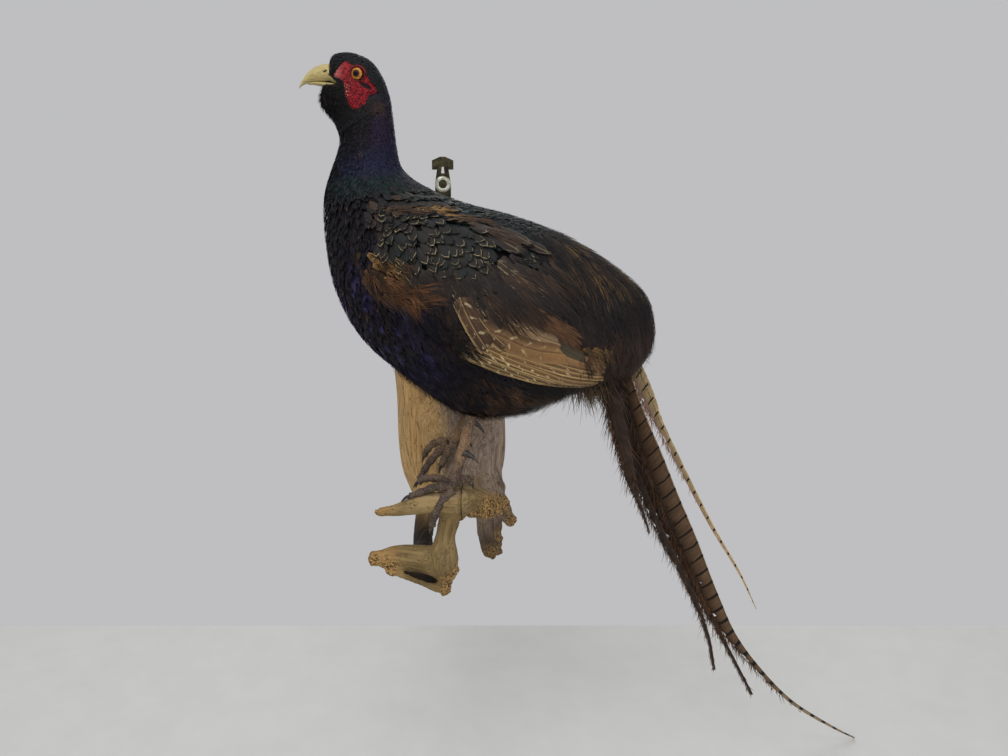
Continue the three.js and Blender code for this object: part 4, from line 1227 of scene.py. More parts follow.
# For each tail feather: the shaft's places, its turn in degrees, the reach of the vane to the left
# and to the right of them at even steps to the tip, where the shaft lies between, the colours of the
# left edge, the shaft and the right edge, how frayed it is (evenly or at even steps), how strong its
# bars are, how far from the shaft they reach, and how far the barbs are swept.
TAIL = {
    "tail_1_central": [
        [[174, -203, 95], [190, -205, 42], [218, -206, -26], [248, -206, -92], [273, -206, -146],
         [294, -205, -188], [322, -204, -226], [360, -203, -266], [409, -201, -299], [430, -201, -310]],
        30, [4, 6, 11, 14.5, 15, 13, 10, 4.4, 3.2, 3.0, 1.6], [4, 7, 9.5, 9, 8.5, 6, 4.5, 3.2, 2.8, 2.6, 1.4],
        0.86, tone(62, 45, 33), TAIL_BROWN, TAIL_EDGE,
        [0.4, 0.4, 0.6, 1.0, 1.3, 1.3, 1.0, 0.9, 0.2, 0, 0], 1.0, 1.2, 0.62],
    "tail_2_central": [
        [[172, -197, 92], [186, -197, 33], [213, -197, -42], [246, -197, -112], [273, -198, -169],
         [304, -199, -228], [321, -200, -260]],
        24, [5, 8, 9, 9, 8, 8, 7, 5, 2.4, 1.8, 1.4], [5, 8, 9, 9, 8, 6, 5, 3, 1.8, 1.5, 1.4],
        0.2, TAIL_DARK, TAIL_DARK, EARTH, 0.9, 0.4, 1.0, 0.9],
    "tail_3_outer": [
        [[167, -207, 92], [176, -208, 43], [196, -208, -24], [224, -208, -87], [251, -208, -140],
         [270, -208, -189], [279, -207, -227]],
        30, [5, 7, 7, 6, 6, 6, 5, 4, 3, 1.8, 1.0], [5, 5, 3, 2, 2, 2, 3, 2.4, 2.0, 1.6, 1.0],
        0.0, TAIL_DARK, TAIL_DARK, TAIL_DARK, 1.0, 0.0, 1.0, 1.0],
    "tail_4_outer": [
        [[162, -213, 90], [170, -215, 44], [185, -216, -17], [206, -215, -76]],
        30, [5, 7, 7.5, 7.5, 7, 6.5, 7, 5, 2.5, 1.6, 0.6], [5, 7, 7.5, 7, 6, 5, 4, 3, 2.4, 1.6, 0.6],
        0.0, TAIL_DARK, TAIL_DARK, tone(52, 44, 40), 0.8, 0.0, 1.0, 1.0],
    "tail_5_barred": [
        [[176, -190, 106], [186, -190, 88], [195, -189, 72], [205.5, -188, 50], [215.5, -188, 27],
         [237.5, -188, -16], [271.5, -188, -79], [306, -188, -136], [323, -188, -171]],
        15, [7, 8.5, 8, 4, 3, 2.6, 2.3, 2.0, 1.6, 1.1, 0.4],
        [4, 6, 5.5, 3.6, 3, 2.6, 2.3, 1.8, 1.4, 0.9, 0.3],
        0.3, PINK_BROWN, TAIL_TAN, TAIL_TAN, [0.8, 1.2, 1.4, 1.4, 1.0, 0.4, 0, 0, 0, 0, 0], 1.0, 0.62, 0.8],
    "tail_6_outer": [
        [[158, -218, 88], [168, -220, 46], [179, -221, 6], [193, -221, -34]],
        34, BLUNT, BLUNT, 0.0, TAIL_DARK, TAIL_DARK, TAIL_DARK, 1.0, 0.0, 1.0, 1.0],
    "tail_7_far": [
        [[168, -184, 92], [181, -183, 38], [200, -183, -18], [226, -183, -82]],
        -24, BLUNT, BLUNT, 0.0, TAIL_DARK, TAIL_BROWN, TAIL_BROWN, 0.7, 0.6, 1.0, 0.9],
    "tail_8_far": [
        [[162, -178, 90], [174, -176, 40], [190, -175, -10], [210, -175, -60]],
        -30, BLUNT, BLUNT, 0.0, TAIL_DARK, TAIL_DARK, TAIL_DARK, 0.9, 0.3, 1.0, 0.9],
}
BAR_GAP = 14.9  # mm along the shaft


def ribbons(coat, root, way, length, width, tint, marks, patch, vane, sag=2.0, rows=5):
    """Adds free tapering strands from roots in space, each sagging a little and curling its own way."""
    rng, many = coat.rng, len(root)
    s = np.linspace(0, 1, rows)[None, :, None]
    drift = rng.normal(0, 0.13, (many, 1, 3)) * length[:, None, None]
    line = root[:, None] + way[:, None] * length[:, None, None] * s + drift * s**2 + DOWN * sag * s**2
    beside = unit(np.cross(way, rng.normal(0, 1, (many, 3)) + [0, 1.6, 0]))[:, None, None]
    u = np.array([-1.0, 1.0])[None, None, :, None]
    points = line[:, :, None] + beside * u * width * (1 - 0.9 * s[..., None] ** 1.5)
    coat.add(points, tint, marks, patch, vane)


def tail_feather(name, shaft, turn, left, right, middle, left_tint, tint, right_tint, frayed, bars, reach,
                 sweep):
    """Makes one row of the table: its vane, its shaft and its loose barbs."""
    coat = Coat(name)
    rng = coat.rng
    length = length_of(shaft)
    rows, columns = int(length / 1.1), 15
    line, way = path(shaft, rows)
    s = np.linspace(0, 1, rows)
    low, high = (through(edge, s * (len(edge) - 1)) for edge in (left, right))
    torn = through(np.broadcast_to(frayed, 11), s * 10)
    core = middle * high
    sideways = unit(np.cross(way, [0, 1, 0]))
    angle = math.radians(turn)
    across = sideways * math.cos(angle) + np.cross(way, sideways) * math.sin(angle)
    face = unit(np.cross(way, across))
    if face[0, 1] > 0:
        face = -face
    u = np.linspace(-1, 1, columns)
    away = np.abs(u)
    wide = np.where(u[None] < 0, (low + core)[:, None], (high - core)[:, None])
    spots = np.stack(np.broadcast_arrays(s[:, None] * length, np.sign(u)[None] * 40.0, turn), -1)
    clump = grain(spots, 3.4, 1) + 0.7 * grain(spots, 8.0, 2)
    tear = torn[:, None] * np.where(u < 0, 1.0, 0.4)[None]
    offset = core[:, None] + u[None] * wide * (1 - tear * 0.3 * np.clip(clump, 0, 1) * away**2)
    lean = np.where((u < 0) | (bars < 0.5), away * (1.1 - 0.3 * away), -0.5 * away)
    ahead = lean * wide * sweep + clump * tear * 1.6 * away**3
    sag = 0.14 * wide * away**2
    points = line[:, None] + across[:, None] * offset[..., None] + way[:, None] * ahead[..., None]
    points = points - face[:, None] * sag[..., None]
    tints = np.where((u < 0)[:, None], blend(tint, left_tint, away**1.2), blend(tint, right_tint, away))
    tints = np.broadcast_to(tints, (rows, columns, 3))
    tints = blend(tints, np.broadcast_to(blend(tint, right_tint, 0.4), tints.shape),
                  np.broadcast_to(smooth(s * 5 - 3.5)[:, None], (rows, columns)))
    tints = np.broadcast_to(tints, (1, rows, columns, 3)) * (0.85 + 0.4 * smooth(2 * s - 0.6)[:, None, None])
    tints = tints * np.maximum(1 + (0.2 + 0.35 * (bars < 0.5)) * clump[None, :, :, None], 0.2)
    mark = coat.marks(1, bars, reach / 1.3, 0.05)
    run = s * length / BAR_GAP
    vane = np.stack(np.broadcast_arrays(0.5 + 0.5 * u[None], run[:, None]), -1)[None]
    patch = np.array([[0.5, 0.5]])
    coat.add(points[None], tints, mark, patch, vane)
    # the shaft, a thin tapering rod along the face
    around = np.linspace(0, 2 * PI, 7)
    thick = (0.15 + 0.6 * (1 - s))[:, None, None]
    rod = (line[:, None] + across[:, None] * (np.cos(around)[None, :, None] * thick + core[:, None, None])
           + face[:, None] * (0.2 + np.sin(around))[None, :, None] * thick)
    middle_line = np.stack(np.broadcast_arrays(0.5 + 0 * around[None], run[:, None]), -1)[None]
    mark = coat.marks(1, bars, reach / 1.3, 0.1)
    coat.add(rod[None], np.array([tint]) * 0.75, mark, patch, middle_line)
    # loose barbs along the edges, most of them on the left
    at = np.flatnonzero(rng.random(rows * 2) < torn.repeat(2) * 0.9) // 2
    many = len(at)
    edge = np.where(rng.random(many) < 0.9 + 0.1 * bars, -1.0, 1.0)
    out = np.where(edge < 0, -low[at], high[at]) * (0.78 + 0.2 * rng.random(many))
    root = line[at] + across[at] * out[:, None] + face[at] * rng.normal(0.1, 0.35, (many, 1))
    lean = rng.uniform(0.1, 0.6 + 0.3 * bars, many)[:, None]
    aim = unit(way[at] + across[at] * edge[:, None] * lean + rng.normal(0, 0.06, (many, 3)))
    size = (5 + 20 * rng.random(many) ** 2) * np.clip(np.where(edge < 0, low[at], high[at]) / 7, 0.25, 1.3)
    ends = np.where((edge < 0)[:, None], left_tint, right_tint)
    rust = 0.5 * rng.random(many) ** 2 * smooth(2 * s[at])
    shades = blend(ends, RUST, rust) * (0.7 + 0.6 * rng.random((many, 1)))
    shares = np.stack([0.5 + 0.49 * edge, run[at]], -1)[:, None, None]
    patch = np.stack([0.5 + 0.4 * edge, 0.01 + 0.98 * s[at]], -1)
    mark = coat.marks(many, bars * 0.5, reach / 1.3, 0.0)
    vane = np.broadcast_to(shares, (many, 5, 2, 2))
    ribbons(coat, root, aim, size, 0.36, shades, mark, patch, vane, sag=1.0)
    return coat.piece(BARRED, "tail_feather", [name])


def undertail_tuft():
    """A few loose dark strands that hang under the root of the tail, and stray ones from the rump."""
    coat = Coat("undertail_tuft")
    rng = coat.rng
    for root, width, many, reach in (
        ([136, -204, 86], 6.5, 420, 44), ([150, -206, 86], 6.0, 300, 40), ([172, -200, 96], 10.0, 150, 22),
    ):
        start = np.array(root) + np.clip(rng.normal(0, 1, (many, 3)), -1.7, 1.7) * [width, 7, 3]
        aim = unit(np.array([0.36, 0.0, -1.0]) + rng.normal(0, 0.2, (many, 3)))
        tint = blend(SOOT, tone(112, 92, 66), rng.random(many)) * (0.5 + 0.8 * rng.random((many, 1)))
        t, a = form.locate(start[:, 0], start[:, 2], -1)
        ribbons(coat, start, aim, reach * (0.4 + 0.65 * rng.random(many)), 0.55, tint,
                coat.marks(many, gloss=0.05), patch_of(t, a), None, sag=3.0, rows=6)
    return coat.piece(PLUMAGE, "brown_plumage", ["undertail_tuft"])


# ---- bill and eyes ----

# Sections of the bill from inside the face to the tip: x, upper edge, lower edge, half width.
BILL_UPPER = [
    [-70.0, 328.0, 326.2, 14.6], [-74.0, 331.4, 327.4, 12.8], [-77.6, 337.0, 328.6, 10.9],
    [-80.6, 344.4, 329.6, 9.4], [-84.5, 345.2, 330.0, 8.0], [-89, 344.2, 330.2, 6.4],
    [-94, 342.2, 330.0, 5.2], [-98.5, 339.2, 329.6, 4.2], [-102.4, 335.2, 328.8, 3.2],
    [-105.8, 330.8, 327.2, 2], [-107.8, 326.6, 325.2, 0.8],
]
BILL_LOWER = [
    [-74, 328.4, 325.4, 9], [-79, 329.6, 325.6, 8], [-85, 330.2, 326.2, 6.4], [-90, 330.6, 327.2, 5],
    [-95, 330.6, 328.2, 3.8], [-100, 329.8, 328.4, 1.9],
]
NOSTRIL = (-83.4, 338.0)


def mandible(name, rows, upper):
    last = len(rows) - 1

    def place(u, v):
        angle = u * 2 * PI
        x, top, bottom, half = through(rows, np.clip(v / 0.97, 0, 1) * last).T
        close = np.sqrt(np.clip((1 - v) / 0.03, 0, 1)) * np.clip(v / 0.02, 0, 1)
        rise, out = np.cos(angle), np.sin(angle)
        taper = 1 - (0.34 if upper else -0.1) * np.clip(rise, 0, 1) ** 1.3
        y = half * np.sign(out) * np.abs(out) ** 0.8 * taper * close
        z = (top + bottom) / 2 + (top - bottom) / 2 * rise * close
        if upper:
            dent = ((x - NOSTRIL[0]) / 2.3) ** 2 + ((z - NOSTRIL[1] - 0.3 * (x - NOSTRIL[0])) / 1.0) ** 2
            lip = ((x - NOSTRIL[0]) / 3.2) ** 2 + ((z - NOSTRIL[1] - 1.9) / 1.6) ** 2
            y = y - np.sign(y) * (1.6 * np.exp(-dent) - 0.55 * np.exp(-lip)) * (np.abs(y) > 1.5)
            groove = np.exp(-(((z - bottom - 1.9) / 0.45) ** 2)) * (x > -99)
            y = y - np.sign(y) * 0.28 * groove * (np.abs(y) > 1)
        return np.stack([x, MID_Y + y, z], -1)

    return sheet(name, 96, 120, place)


def bill():
    horn = horn_finish("bill_horn", (166, 150, 94), (120, 100, 60), (196, 184, 140))
    piece("bill_upper", mandible("bill_upper", BILL_UPPER, True), horn, ["bill_upper"])
    piece("bill_lower", mandible("bill_lower", BILL_LOWER, False), horn, ["bill_lower"])


def horn_finish(name, colour, dark, pale):
    """Horn: long growth streaks, a darker cutting edge, a pale worn tip and a few dark specks."""
    f = Finish(name, {"Roughness": 0.42, "Specular IOR Level": 0.5, "Coat Weight": 0.12,
                      "Coat Roughness": 0.3})
    where = f.space()
    x, _, z = f.split(where)
    streaks = f.noise(f.scaled(where, (70.0, 260.0, 420.0)), 1.0, 3.0)
    blotch = f.noise(where, 130.0, 3.0)
    base = f.mix(dark, colour, (streaks * 0.55 + blotch * 0.6).between(0.3, 0.62))
    base = f.mix(base, pale, (-x).between(0.098, 0.1075) * 0.55)
    edge = z.near(0.3306, 0.0009) * (-x).between(0.078, 0.084) * blotch.between(0.3, 0.5)
    base = f.mix(base, (120, 84, 52), edge * 0.5)
    specks = 1.0 - f.cells(where, 190.0).between(0.07, 0.16)
    base = f.mix(base, (70, 50, 36), specks * blotch.between(0.56, 0.64) * 0.8)
    # painted shade: the nostril's opening is painted dark over the dent in the bill
    hole_x, hole_z = x - NOSTRIL[0] * MM, z - NOSTRIL[1] * MM
    hole = ((hole_x / 0.0021) ** 2.0 + ((hole_z - hole_x * 0.3) / 0.0009) ** 2.0).between(0.5, 1.1)
    base = f.mix((26, 20, 14), base, hole)
    f.paint({"Base Color": base})
    f.bump(streaks, 0.25, 0.0002)
    return f.material


def eye(name):
    """A glass eye: a round black pupil in a brown-orange iris with a dark rim."""
    side = SIDES[name]
    bm = bmesh.new()
    iris = bm.loops.layers.uv.new("iris")
    bmesh.ops.create_uvsphere(bm, u_segments=64, v_segments=48, radius=EYE_RADIUS * MM)
    for face in bm.faces:
        for loop in face.loops:
            co = loop.vert.co / (EYE_RADIUS * MM)
            loop[iris].uv = (math.atan2(co.y, co.x) / (2 * PI) + 0.5, math.acos(max(-1, min(1, co.z))) / PI)
    aim = Vector((-0.16, side, 0.02))
    bmesh.ops.rotate(bm, verts=bm.verts, matrix=aim.to_track_quat("Z", "Y").to_matrix())
    centre = Vector((EYE[0], MID_Y + side * EYE_OUT, EYE[1])) * MM
    bmesh.ops.translate(bm, verts=bm.verts, vec=centre)
    return piece(f"eye_{name}", mesh_of(bm, f"eye_{name}"), GLASS_EYE, [f"eye_{name}"])


def eye_finish():
    f = Finish("glass_eye", {"Roughness": 0.5, "Specular IOR Level": 0.06, "Coat Weight": 0.14,
                             "Coat Roughness": 0.03})
    round_, polar, _ = f.split(f.uv("iris"))
    turn = round_ * (2 * PI)
    rays = f.noise(f.join(turn.sine() * 5.0, turn.cosine() * 5.0, polar * 6.0), 1.6, 4.0)
    ring = f.mix((138, 82, 34), (204, 144, 68), rays.between(0.35, 0.65))
    ring = f.mix((58, 28, 14), ring, polar.between(0.145, 0.185))
    ring = f.mix(ring, (22, 14, 10), polar.between(0.262, 0.292))
    f.paint({"Base Color": f.mix((5, 5, 6), ring, polar.between(0.092, 0.104))})
    return f.material


# ---- tubes: legs, toes, claws and wood ----

def tube_place(points, radius, squash=1.0, cap=0.02):
    """The place function of a closed round limb; radius(v, angle) is in mm."""
    line, way = path(points, 160)
    side = [unit(np.cross(way[0], [0.0, 1.0, 0.1]))]
    for ahead in way[1:]:
        side.append(unit(side[-1] - ahead * (side[-1] @ ahead)))
    side = np.array(side)
    other = np.cross(way, side)
    shares = np.linspace(0, 1, len(line))
    at = lambda rows, v: np.stack([np.interp(v, shares, column) for column in rows.T], -1)

    def place(u, v):
        s = np.clip((v - cap) / (1 - 2 * cap), 0, 1)
        close = np.sqrt(np.clip(np.minimum(v, 1 - v) / cap, 0, 1))
        angle = u * 2 * PI
        reach = (radius(s, angle) * close)[:, None]
        out = (at(side, s) * np.cos(angle)[:, None] + at(other, s) * np.sin(angle)[:, None]) * reach
        out[:, 1] *= squash
        return at(line, s) + out

    return place


def tube_mesh(points, radius, around, along, squash=1.0, cap=0.02):
    return sheet("tube", around, along, tube_place(points, radius, squash, cap), length_of(points))


def joined(name, meshes):
    bm = bmesh.new()
    for mesh in meshes:
        bm.from_mesh(mesh)
        bpy.data.meshes.remove(mesh)
    return mesh_of(bm, name)


SHANK_LENGTH = 66.0
TOE_ROOT = 4.4
TOE_TIP = 3.1
CLAW_ROOT = 2.3
LEGS = {
    "left": {
        "shank": [[38, -226, 43], [29.8, -226, 9], [20, -226, -23]], "shin": 5.0,
        "spur": [[31, -228, 8], [39, -231, 5], [45, -233, -1]],
        "toes": {
            "middle": [[18, -229, -25], [7, -233, -23], [-6, -234, -27], [-18, -234, -32], [-30, -233, -39]],
            "inner": [[20, -231, -27], [11, -237, -35], [5, -241, -47], [2, -243, -57], [-1, -244, -67]],
            "outer": [[16, -223, -23], [6, -220, -20], [-5, -218, -20.5], [-12, -218, -24], [-19, -219, -31]],
            "hind": [[24, -224, -22], [32, -222, -19], [38, -221, -23], [40, -221, -32]],
        },
    },
    "right": {
        "shank": [[40, -171, 43], [27.5, -170, 20], [16, -169, 1]], "shin": 4.7,
        "spur": [[33, -172, 24], [42, -174, 19], [49, -175, 10]],
        "toes": {
            "outer": [[12, -167, 0], [3, -165, -1], [-6, -165, -6], [-12, -167, -15], [-15, -168, -25]],
            "middle": [[11, -172, -2], [2, -178, -9], [-8, -182, -21], [-15, -186, -33], [-20, -189, -44]],
            "inner": [[14, -175, -3], [10, -181, -12], [6, -185, -20], [3, -187, -30]],
            "hind": [[22, -167, 1], [28, -164, 0], [32, -162, -3], [37, -161, -10]],
        },
    },
}


def scales(v, angle, length, gap, depth):
    """Overlapping scales: broad plates down the front, small ones behind."""
    run = v * length / gap
    front = smooth(0.5 - 0.9 * np.cos(angle))
    plate = (run + 0.18 * np.cos(2 * angle)) % 1
    small = np.abs(np.sin(run * PI * 1.7)) * np.abs(np.sin(angle * 5 + np.floor(run * 1.7) * PI / 2))
    return depth * (front * plate**0.7 + (1 - front) * 0.8 * small)


def leg(name):
    limb = LEGS[name]

    def shin(v, angle):
        ball = 1.3 * np.exp(-(((v - 0.95) / 0.12) ** 2))
        return limb["shin"] * (1 - 0.02 * v) - 0.3 + ball + scales(v, angle, SHANK_LENGTH, 3.6, 0.5)

    piece(f"leg_{name}", tube_mesh(limb["shank"], shin, 56, 200), LEG_SCALE, [f"leg_{name}"])
    spur = tube_mesh(limb["spur"], lambda v, angle: 4 * (1 - 0.92 * v), 24, 40)
    piece(f"spur_{name}", spur, CLAW_HORN, [f"spur_{name}"])
    for digit, line in limb["toes"].items():
        toe(name, digit, line)


def toe(name, digit, line):
    points = line[:-1]
    length = length_of(points)

    def thick(v, angle):
        pads = 0.42 * np.cos(v * len(points) * 2 * PI)
        return TOE_ROOT + (TOE_TIP - TOE_ROOT) * v + pads - 0.2 + scales(v, angle, length, 2.3, 0.42)

    piece(f"toe_{name}_{digit}", tube_mesh(points, thick, 40, 110, cap=0.06), LEG_SCALE,
          [f"toe_{name}_{digit}"])
    root, tip = np.array(points[-1], float), np.array(line[-1], float)
    back = root - unit(root - np.array(points[-2], float)) * 1.6
    tip = back + (tip - back) * 0.78
    bend = (back + tip) / 2 + [0, 0, 1.4]
    thin = lambda v, angle: CLAW_ROOT * (1 - 0.93 * v) ** 0.8
    nail = tube_mesh([back, bend, tip], thin, 24, 40, squash=0.85)
    piece(f"claw_{name}_{digit}", nail, CLAW_HORN, [f"claw_{name}_{digit}"])


def leg_finish():
    """Scaly skin: pale rims round each plate and small round scales between them."""
    f = Finish("leg_scale", {"Specular IOR Level": 0.35})
    where, far = f.space(), f.attribute("far", 2)
    about = f.attribute("about", 2)
    tiles = f.cells(where, 560.0, "DISTANCE_TO_EDGE").between(0.02, 0.15)
    blotch = f.noise(where, 60.0, 4.0)
    plate = abs((far / 2.3 + about * 0.3).part() - 0.5).between(0.36, 0.47)
    height = f.split(where)[2]
    warm = height.between(-0.022, 0.012)
    deep = f.mix((40, 31, 29), (74, 60, 53), blotch.between(0.35, 0.65))
    shank = f.mix((62, 42, 30), (118, 88, 58), blotch.between(0.35, 0.65))
    colour = f.mix(deep, shank, warm)
    rims = (plate * 0.9).top(1.0 - tiles)
    colour = f.mix(colour, (160, 134, 106), rims * (0.04 + blotch * 0.5 + warm * 0.14))
    specks = 1.0 - f.cells(where, 760.0).between(0.1, 0.28)
    colour = f.mix(colour, (206, 172, 128), specks * f.noise(where, 140.0).between(0.5, 0.62) * warm)
    colour = f.mix(colour, (24, 18, 17), f.noise(where, 500.0, 3.0).between(0.52, 0.66) * 0.6)
    f.paint({"Base Color": colour, "Roughness": 0.78 - blotch * 0.2})
    f.bump(tiles * 0.5 + f.noise(where, 900.0) * 0.3 - plate * 0.4, 0.5, 0.0004)
    return f.material


def claw_finish():
    f = Finish("claw_horn", {"Roughness": 0.42, "Specular IOR Level": 0.5})
    where = f.space()
    streak = f.noise(where, 260.0, 3.0)
    f.paint({"Base Color": f.mix((30, 24, 22), (74, 62, 52), streak.between(0.4, 0.75))})
    f.bump(streak, 0.2, 0.0002)
    return f.material


# ---- driftwood ----

TRUNK_DEPTH = 0.76
TRUNK_WOOD = [
    [-1, -14, 208, 32], [-1, -22, 170, 42], [0, -29, 110, 53], [2, -34, 47, 61], [6, -36, -12, 61],
    [7.5, -36, -62, 62], [7.5, -34, -94, 57], [9, -32, -120, 40],
]
LIMBS = {
    "buttress": [[18, -50, 6, 50], [22, -92, -12, 46], [25, -130, -25, 36], [27, -168, -32, 26],
                 [28, -195, -37, 20], [27, -222, -43, 12], [27, -234, -46, 6]],
    "perch": [[32, -222, -42, 12], [16, -229, -40, 11], [0, -232, -39, 9.8], [-16, -233, -41.5, 9.3],
              [-31, -233, -45.5, 7.3], [-43, -232, -47.4, 5.4], [-52, -231, -49.4, 4.3]],
    "limb": [[27, -221, -42, 13], [19, -225, -53, 11.5], [14.5, -227, -66, 9.8], [12, -226, -80, 9.8],
             [10.5, -224, -95, 13], [11.5, -221, -109, 14], [12, -219, -121, 11], [12, -217, -133, 6],
             [13.5, -217, -139, 3]],
    "foot": [[14, -218, -107, 15.5], [-8, -215, -103, 14], [-25, -214, -101, 12.5],
             [-38, -213, -101, 11.5], [-51, -214, -102.5, 9], [-61, -215, -101.5, 6]],
    "rim": [[-48, -219, -110, 4], [-36, -223, -113.6, 3], [-22, -225, -118.4, 2.8], [-8, -225, -124, 3],
            [2, -223, -129, 3.8], [11, -219, -136, 4.5]],
    "lining": [[-44, -210, -111, 6], [-28, -205, -118, 10], [-10, -203, -125, 11], [6, -206, -131, 8.5]],
    "bridge": [[-12, -56, -84, 22], [-19, -96, -107, 13], [-20, -120, -121, 11], [-17, -152, -122, 11],
               [-12, -188, -112, 12], [-8, -212, -106, 12]],
    "burl": [[28, -208, -43, 15], [44, -194, -54, 15], [58, -180, -61, 12], [68, -170, -63, 8]],
    "root": [[43, -48, -84, 24], [59, -66, -104, 16], [71, -76, -117, 11], [78, -80, -126, 6]],
    "stub": [[46, -46, -92, 24], [50, -62, -126, 16.5], [52, -69, -152, 14.5], [56, -70, -169, 10]],
}
HOLLOW = [[-40, -229, -110, 1.0], [-28, -229, -112.4, 2.3], [-14, -229, -115.8, 3.4], [-1, -228, -120.5, 4.3]]
PLATE_SEAT = (0.0192, 0.008, 0.07)  # metres, cut out of the back for the hanger's plate
ROUGH_VOXEL = 0.0026
FINE_VOXEL = 0.00175
# How much painted shade each limb gets where it lies in shadow under or behind other wood, from none to 1;
# the trunk comes first.
LIMB_SHADE = [0, 0.1, 0, 0, 0, 0.1, 1.0, 1.0, 0, 0.6, 0.85]
# How broken and crumbled a place is: x, y, z and the reach of the damage.
BROKEN = [
    [-61, -216, -104, 13], [-44, -224, -109, 10], [-54, -231, -49, 9], [64, -178, -62, 20],
    [52, -198, -61, 20], [41, -208, -65, 13], [56, -70, -171, 22], [70, -70, -160, 16], [78, -80, -126, 15],
    [66, -72, -140, 12], [14, -217, -137, 15], [22, -222, -112, 12], [16, -230, -118, 9],
]


def wood_fields(place):
    """The run of the grain at each place, in mm along and about the nearest limb, its damage and its
    painted shade."""
    best = np.full(len(place), 1e9)
    run = np.zeros((len(place), 3))
    share, dark = np.full(len(place), 1e-9), np.zeros(len(place))
    limbs = [TRUNK_WOOD, *LIMBS.values()]
    for order, rows in enumerate(limbs):
        rows = np.array(rows, float)
        line, way = path(rows[:, :3], 60)
        thick = through(rows[:, 3], np.linspace(0, len(rows) - 1, 60))
        away = np.linalg.norm(place[:, None] - line[None], axis=-1)
        near = (away / thick[None]).argmin(1)
        reach = away[np.arange(len(place)), near] / thick[near] * (0.75 if order == 0 else 1.0)
        weight = np.exp(-9 * reach)
        share, dark = share + weight, dark + weight * LIMB_SHADE[order]
        off = place - line[near]
        side = unit(np.cross(way[near], [0.3, 1.0, 0.1]))
        other = np.cross(way[near], side)
        along = (off * way[near]).sum(-1) + near * np.linalg.norm(line[1] - line[0])
        mine = np.stack([(off * side).sum(-1), (off * other).sum(-1), along + 300.0 * order], -1)
        closer = reach < best
        run[closer] = mine[closer]
        best = np.minimum(best, reach)
    spots = np.array(BROKEN, float)
    away = np.linalg.norm(place[:, None] - spots[None, :, :3], axis=-1)
    damage = np.clip(1.35 - away / spots[None, :, 3] + 0.3 * grain(place, 7.0, 40)[:, None], 0, 1).max(1)
    return run, smooth(damage), dark / share


def applied(made):
    """The mesh that an object's modifiers make of it; they are then taken off."""
    graph = bpy.context.evaluated_depsgraph_get()
    mesh = bpy.data.meshes.new_from_object(made.evaluated_get(graph))
    made.modifiers.clear()
    return mesh


def remeshed(made, voxel):
    made.modifiers.new("even", "REMESH").voxel_size = voxel
    return applied(made)


def driftwood():
    limbs = []
    for rows, squash in [(TRUNK_WOOD, TRUNK_DEPTH)] + [(rows, 1.0) for rows in LIMBS.values()]:
        rows = np.array(rows, float)
        thick = lambda v, angle, rows=rows: through(rows[:, 3], v * (len(rows) - 1)) * (
            1 + 0.07 * np.sin(3 * angle + 5 * v) * np.cos(5 * angle - 2))
        limbs.append(tube_mesh(rows[:, :3], thick, 64, 80, squash, cap=0.015))
    rough = placed("rough", joined("rough", limbs))
    rough.data = remeshed(rough, ROUGH_VOXEL)
    hollow = np.array(HOLLOW, float)
    cave = tube_mesh(hollow[:, :3], lambda v, angle: through(hollow[:, 3], v * 3), 24, 24, squash=3.4)
    seat = bmesh.new()
    low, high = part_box("hanger_plate")
    bmesh.ops.create_cube(seat, size=1.0)
    bmesh.ops.scale(seat, verts=seat.verts, vec=PLATE_SEAT)
    foot = low.z - 0.0005
    middle = ((low.x + high.x) / 2, 0.0005, foot + PLATE_SEAT[2] / 2)
    bmesh.ops.translate(seat, verts=seat.verts, vec=middle)
    cutter = placed("cutter", joined("cutter", [cave, mesh_of(seat, "seat")]))
    cut = rough.modifiers.new("cut", "BOOLEAN")
    cut.object = cutter
    cut.operation = "DIFFERENCE"
    cut.solver = "EXACT"
    rough.data = applied(rough)
    mesh = remeshed(rough, FINE_VOXEL)
    mesh.name = "driftwood"
    bpy.data.objects.remove(rough)
    bpy.data.objects.remove(cutter)
    carve(mesh)
    return piece("driftwood", mesh, wood_finish(), ["driftwood"])


